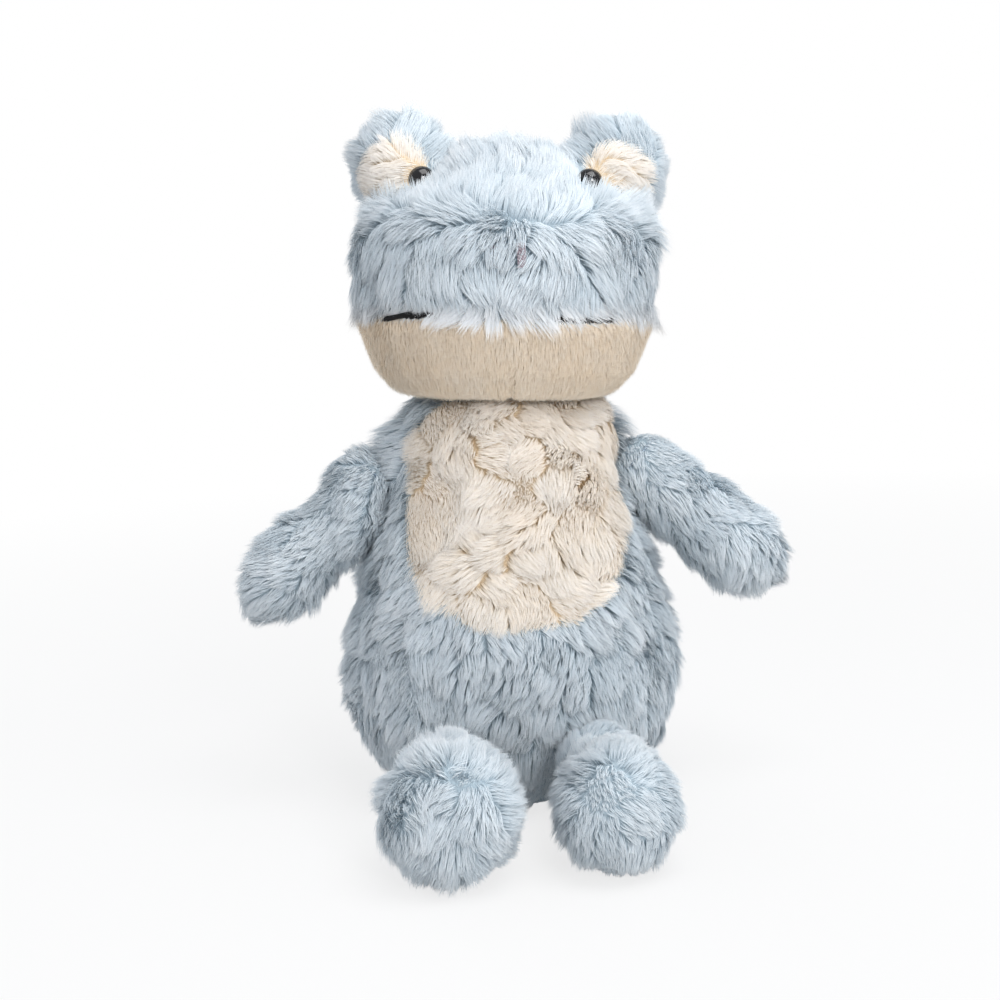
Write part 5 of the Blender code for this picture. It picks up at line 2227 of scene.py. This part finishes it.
@dataclass(frozen=True)
class Studio:
    """Pale floor, soft lamps and the photograph's camera."""

    camera_place: Place = (-0.03446, -0.53890, 0.175)
    yaw: float = math.radians(3.5)
    pitch: float = math.radians(7.75)
    roll: float = math.radians(2.5)
    lens: float = 56.4
    sensor: float = 36.0
    clip: tuple[float, float] = (0.01, 20.0)
    floor_half: float = 3.0
    floor_colour: str = "dcdcdc"
    floor_fade: tuple[float, float] = (0.25, 0.9)
    floor_white: tuple[float, float] = (0.76, 1.0)
    sky_colour: str = "f2f5fa"
    sky_strength: float = 0.66
    middle: Place = (0.0, -0.01, 0.12)
    lamps: tuple[Lamp, ...] = (
        Lamp("top_lamp", (0.3, -0.45, 1.25), 0.9, 9.8),
        Lamp("front_lamp", (0.38, -1.3, 0.6), 0.4, 8.6),
        Lamp("rear_lamp", (-0.6, 1.25, 0.4), 0.9, 6.0),
    )

    def camera(self) -> None:
        """Makes the camera."""
        data = bpy.data.cameras.new("camera")
        data.lens = self.lens
        data.sensor_width = self.sensor
        data.clip_start, data.clip_end = self.clip
        ahead = Vector((math.sin(self.yaw), math.cos(self.yaw), 0.0)) * math.cos(self.pitch)
        ahead.z = -math.sin(self.pitch)
        across = ahead.cross(UP).normalized()
        above = across.cross(ahead)
        cosine, sine = math.cos(self.roll), math.sin(self.roll)
        right = across * cosine - above * sine
        up = across * sine + above * cosine
        turn = Matrix((right, up, -ahead)).transposed().to_4x4()
        obj = bpy.data.objects.new("camera", data)
        obj.matrix_world = Matrix.Translation(self.camera_place) @ turn
        bpy.context.scene.collection.objects.link(obj)
        bpy.context.scene.camera = obj

    def floor(self) -> None:
        """Lays the pale floor, which shows white away from the toy."""
        half = self.floor_half
        mesh = bpy.data.meshes.new("floor")
        corners = [(-half, -half, 0.0), (half, -half, 0.0), (half, half, 0.0), (-half, half, 0.0)]
        mesh.from_pydata(corners, [], [(0, 1, 2, 3)])
        obj = plain_object("floor", mesh)
        material = bpy.data.materials.new("pale_floor")
        material.use_nodes = True
        material.node_tree.nodes.clear()
        graph = Graph(material.node_tree)
        plain = graph.made("ShaderNodeBsdfDiffuse", {"Color": linear(self.floor_colour)}, "BSDF")
        white = graph.made("ShaderNodeEmission", {"Color": WHITE, "Strength": 1.0}, "Emission")
        ray = graph.node("ShaderNodeLightPath")
        seen = graph.math("MAXIMUM", ray.outputs["Is Camera Ray"], ray.outputs["Is Glossy Ray"])
        seen = graph.math("MAXIMUM", seen, ray.outputs["Is Transmission Ray"])
        place = graph.made("ShaderNodeTexCoord", {}, "Object")
        away = graph.made("ShaderNodeVectorMath", {0: place}, "Value", operation="LENGTH")
        limits = dict(enumerate((*self.floor_fade, *self.floor_white), 1))
        fade = graph.made("ShaderNodeMapRange", {"Value": away} | limits, "Result")
        share = graph.math("MULTIPLY", seen, fade)
        shader = graph.made("ShaderNodeMixShader", {0: share, 1: plain, 2: white}, "Shader")
        graph.feed(graph.node("ShaderNodeOutputMaterial").inputs["Surface"], shader)
        mesh.materials.append(material)

    def world(self) -> None:
        """Gives even light from all round, and a white backdrop."""
        world = bpy.data.worlds.new("studio")
        bpy.context.scene.world = world
        world.use_nodes = True
        world.node_tree.nodes.clear()
        graph = Graph(world.node_tree)
        inputs = {"Color": linear(self.sky_colour), "Strength": self.sky_strength}
        soft = graph.made("ShaderNodeBackground", inputs, "Background")
        white = graph.made("ShaderNodeBackground", {"Color": WHITE, "Strength": 1.0}, "Background")
        ray = graph.node("ShaderNodeLightPath")
        seen = graph.math("MAXIMUM", ray.outputs["Is Camera Ray"], ray.outputs["Is Transmission Ray"])
        shader = graph.made("ShaderNodeMixShader", {0: seen, 1: soft, 2: white}, "Shader")
        graph.feed(graph.node("ShaderNodeOutputWorld").inputs["Surface"], shader)

    def build(self) -> None:
        """Sets up the whole studio."""
        self.camera()
        self.floor()
        self.world()
        for lamp in self.lamps:
            lamp.hang(self.middle)
        bpy.context.scene.view_settings.view_transform = "Standard"


@dataclass
class Frog:
    """The whole toy."""

    finishes: Finishes
    torso: Torso = field(init=False)
    head: Head = field(init=False)
    limbs: list[Limb] = field(default_factory=list)
    margin: float = 1.0 * MM
    left_eye_proud: float = 2.6 * MM
    left_eye_inward: float = 1.6 * MM

    def __post_init__(self) -> None:
        """Starts the body and the head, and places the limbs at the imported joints."""
        self.torso = Torso(self.finishes)
        self.head = Head(self.finishes)
        kinds = {f"{kind.value}_{side.suffix}": (kind, side) for kind in LimbKind for side in Side}
        for joint in FRAME["joints"]:
            name = joint["child"]
            if name in kinds:
                seed = FIRST_LIMB_SEED + LIMB_SEED_STEP * len(self.limbs)
                place = tuple(joint["pos_m"])
                self.limbs.append(Limb(self.finishes, *kinds[name], place, seed=seed, **UNLIKE_LIMBS[name]))

    def build(self) -> None:
        """Makes skins first, then the fur between them."""
        body = self.torso.shape()
        head = self.head.shape()
        skins = [limb.shape() for limb in self.limbs]
        self.grow(body, head, skins)
        Trim(self.finishes, self.head, self.torso, self.limbs).build()
        left = SafetyEye(Side.LEFT, proud=self.left_eye_proud, inward=self.left_eye_inward)
        left.build(self.finishes)
        SafetyEye(Side.RIGHT).build(self.finishes)
        Filling().build(self.finishes, body, head, self.limbs)
        self.dress_skins(body, head)
        self.dress_washers()

    def grow(self, body: Skin, head: Skin, skins: Sequence[Skin]) -> None:
        """Grows the fur, with none where one skin goes into another.

        Args:
            body: The body's skin.
            head: The head's skin.
            skins: The limbs' skins.
        """
        tree = FurTree()
        hidden = inside(head, body.points, self.margin)
        for skin in skins:
            hidden |= inside(skin, body.points, self.margin)
        for coat in self.torso.coats(body.eased(1.0 - hidden.astype(float), 1)):
            tree.grown(body, coat)
        hidden = inside(body, head.points, self.margin)
        for coat in self.head.coats(head.eased(1.0 - hidden.astype(float), 1)):
            tree.grown(head, coat)
        for limb, skin in zip(self.limbs, skins):
            hidden = inside(body, skin.points, self.margin)
            free = skin.eased(1.0 - hidden.astype(float), 1)
            tree.grown(skin, limb.coat(free))

    def dress_skins(self, body: Skin, head: Skin) -> None:
        """Finishes the skins and lets them stand for the CAD covers.

        Args:
            body: The body's skin.
            head: The head's skin.
        """
        cloths = (self.finishes.blue_backing, self.finishes.cream_backing)
        panelled(body, cloths, self.torso.belly)
        dressed_skin(body, "torso", ["body_cover", "belly_panel"])
        nodes = ["head_cover", "jaw_panel"]
        nodes += [n + s.suffix for n in ("eye_bump_cover_", "eye_patch_") for s in Side]
        panelled(head, cloths, self.head.share["jaw"] + self.head.share["patch"])
        dressed_skin(head, "head", nodes)
        for limb in self.limbs:
            panelled(limb.skin, cloths[:1], np.zeros(len(limb.skin.points)))
            dressed_skin(limb.skin, limb.name, [limb.node("cover")])

    def dress_washers(self) -> None:
        """Gives the eyes' washers, the only solids that show, their finish."""
        for side in Side:
            materials = FRAME["nodes"]["eye_washer_" + side.suffix].data.materials
            materials.clear()
            materials.append(self.finishes.washer)


def main() -> None:
    """Builds the toy and its studio."""
    logging.basicConfig(level=logging.INFO, format="%(message)s")
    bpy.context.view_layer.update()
    Studio().build()
    Frog(Finishes()).build()


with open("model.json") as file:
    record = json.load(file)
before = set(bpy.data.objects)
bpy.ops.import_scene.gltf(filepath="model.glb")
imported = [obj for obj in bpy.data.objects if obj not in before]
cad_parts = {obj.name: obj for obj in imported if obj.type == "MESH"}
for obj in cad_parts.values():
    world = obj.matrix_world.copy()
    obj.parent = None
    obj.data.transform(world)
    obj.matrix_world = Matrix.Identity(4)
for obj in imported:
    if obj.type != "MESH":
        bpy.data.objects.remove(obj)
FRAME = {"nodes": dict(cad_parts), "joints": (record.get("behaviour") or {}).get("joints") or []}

if __name__ == "__main__":
    main()
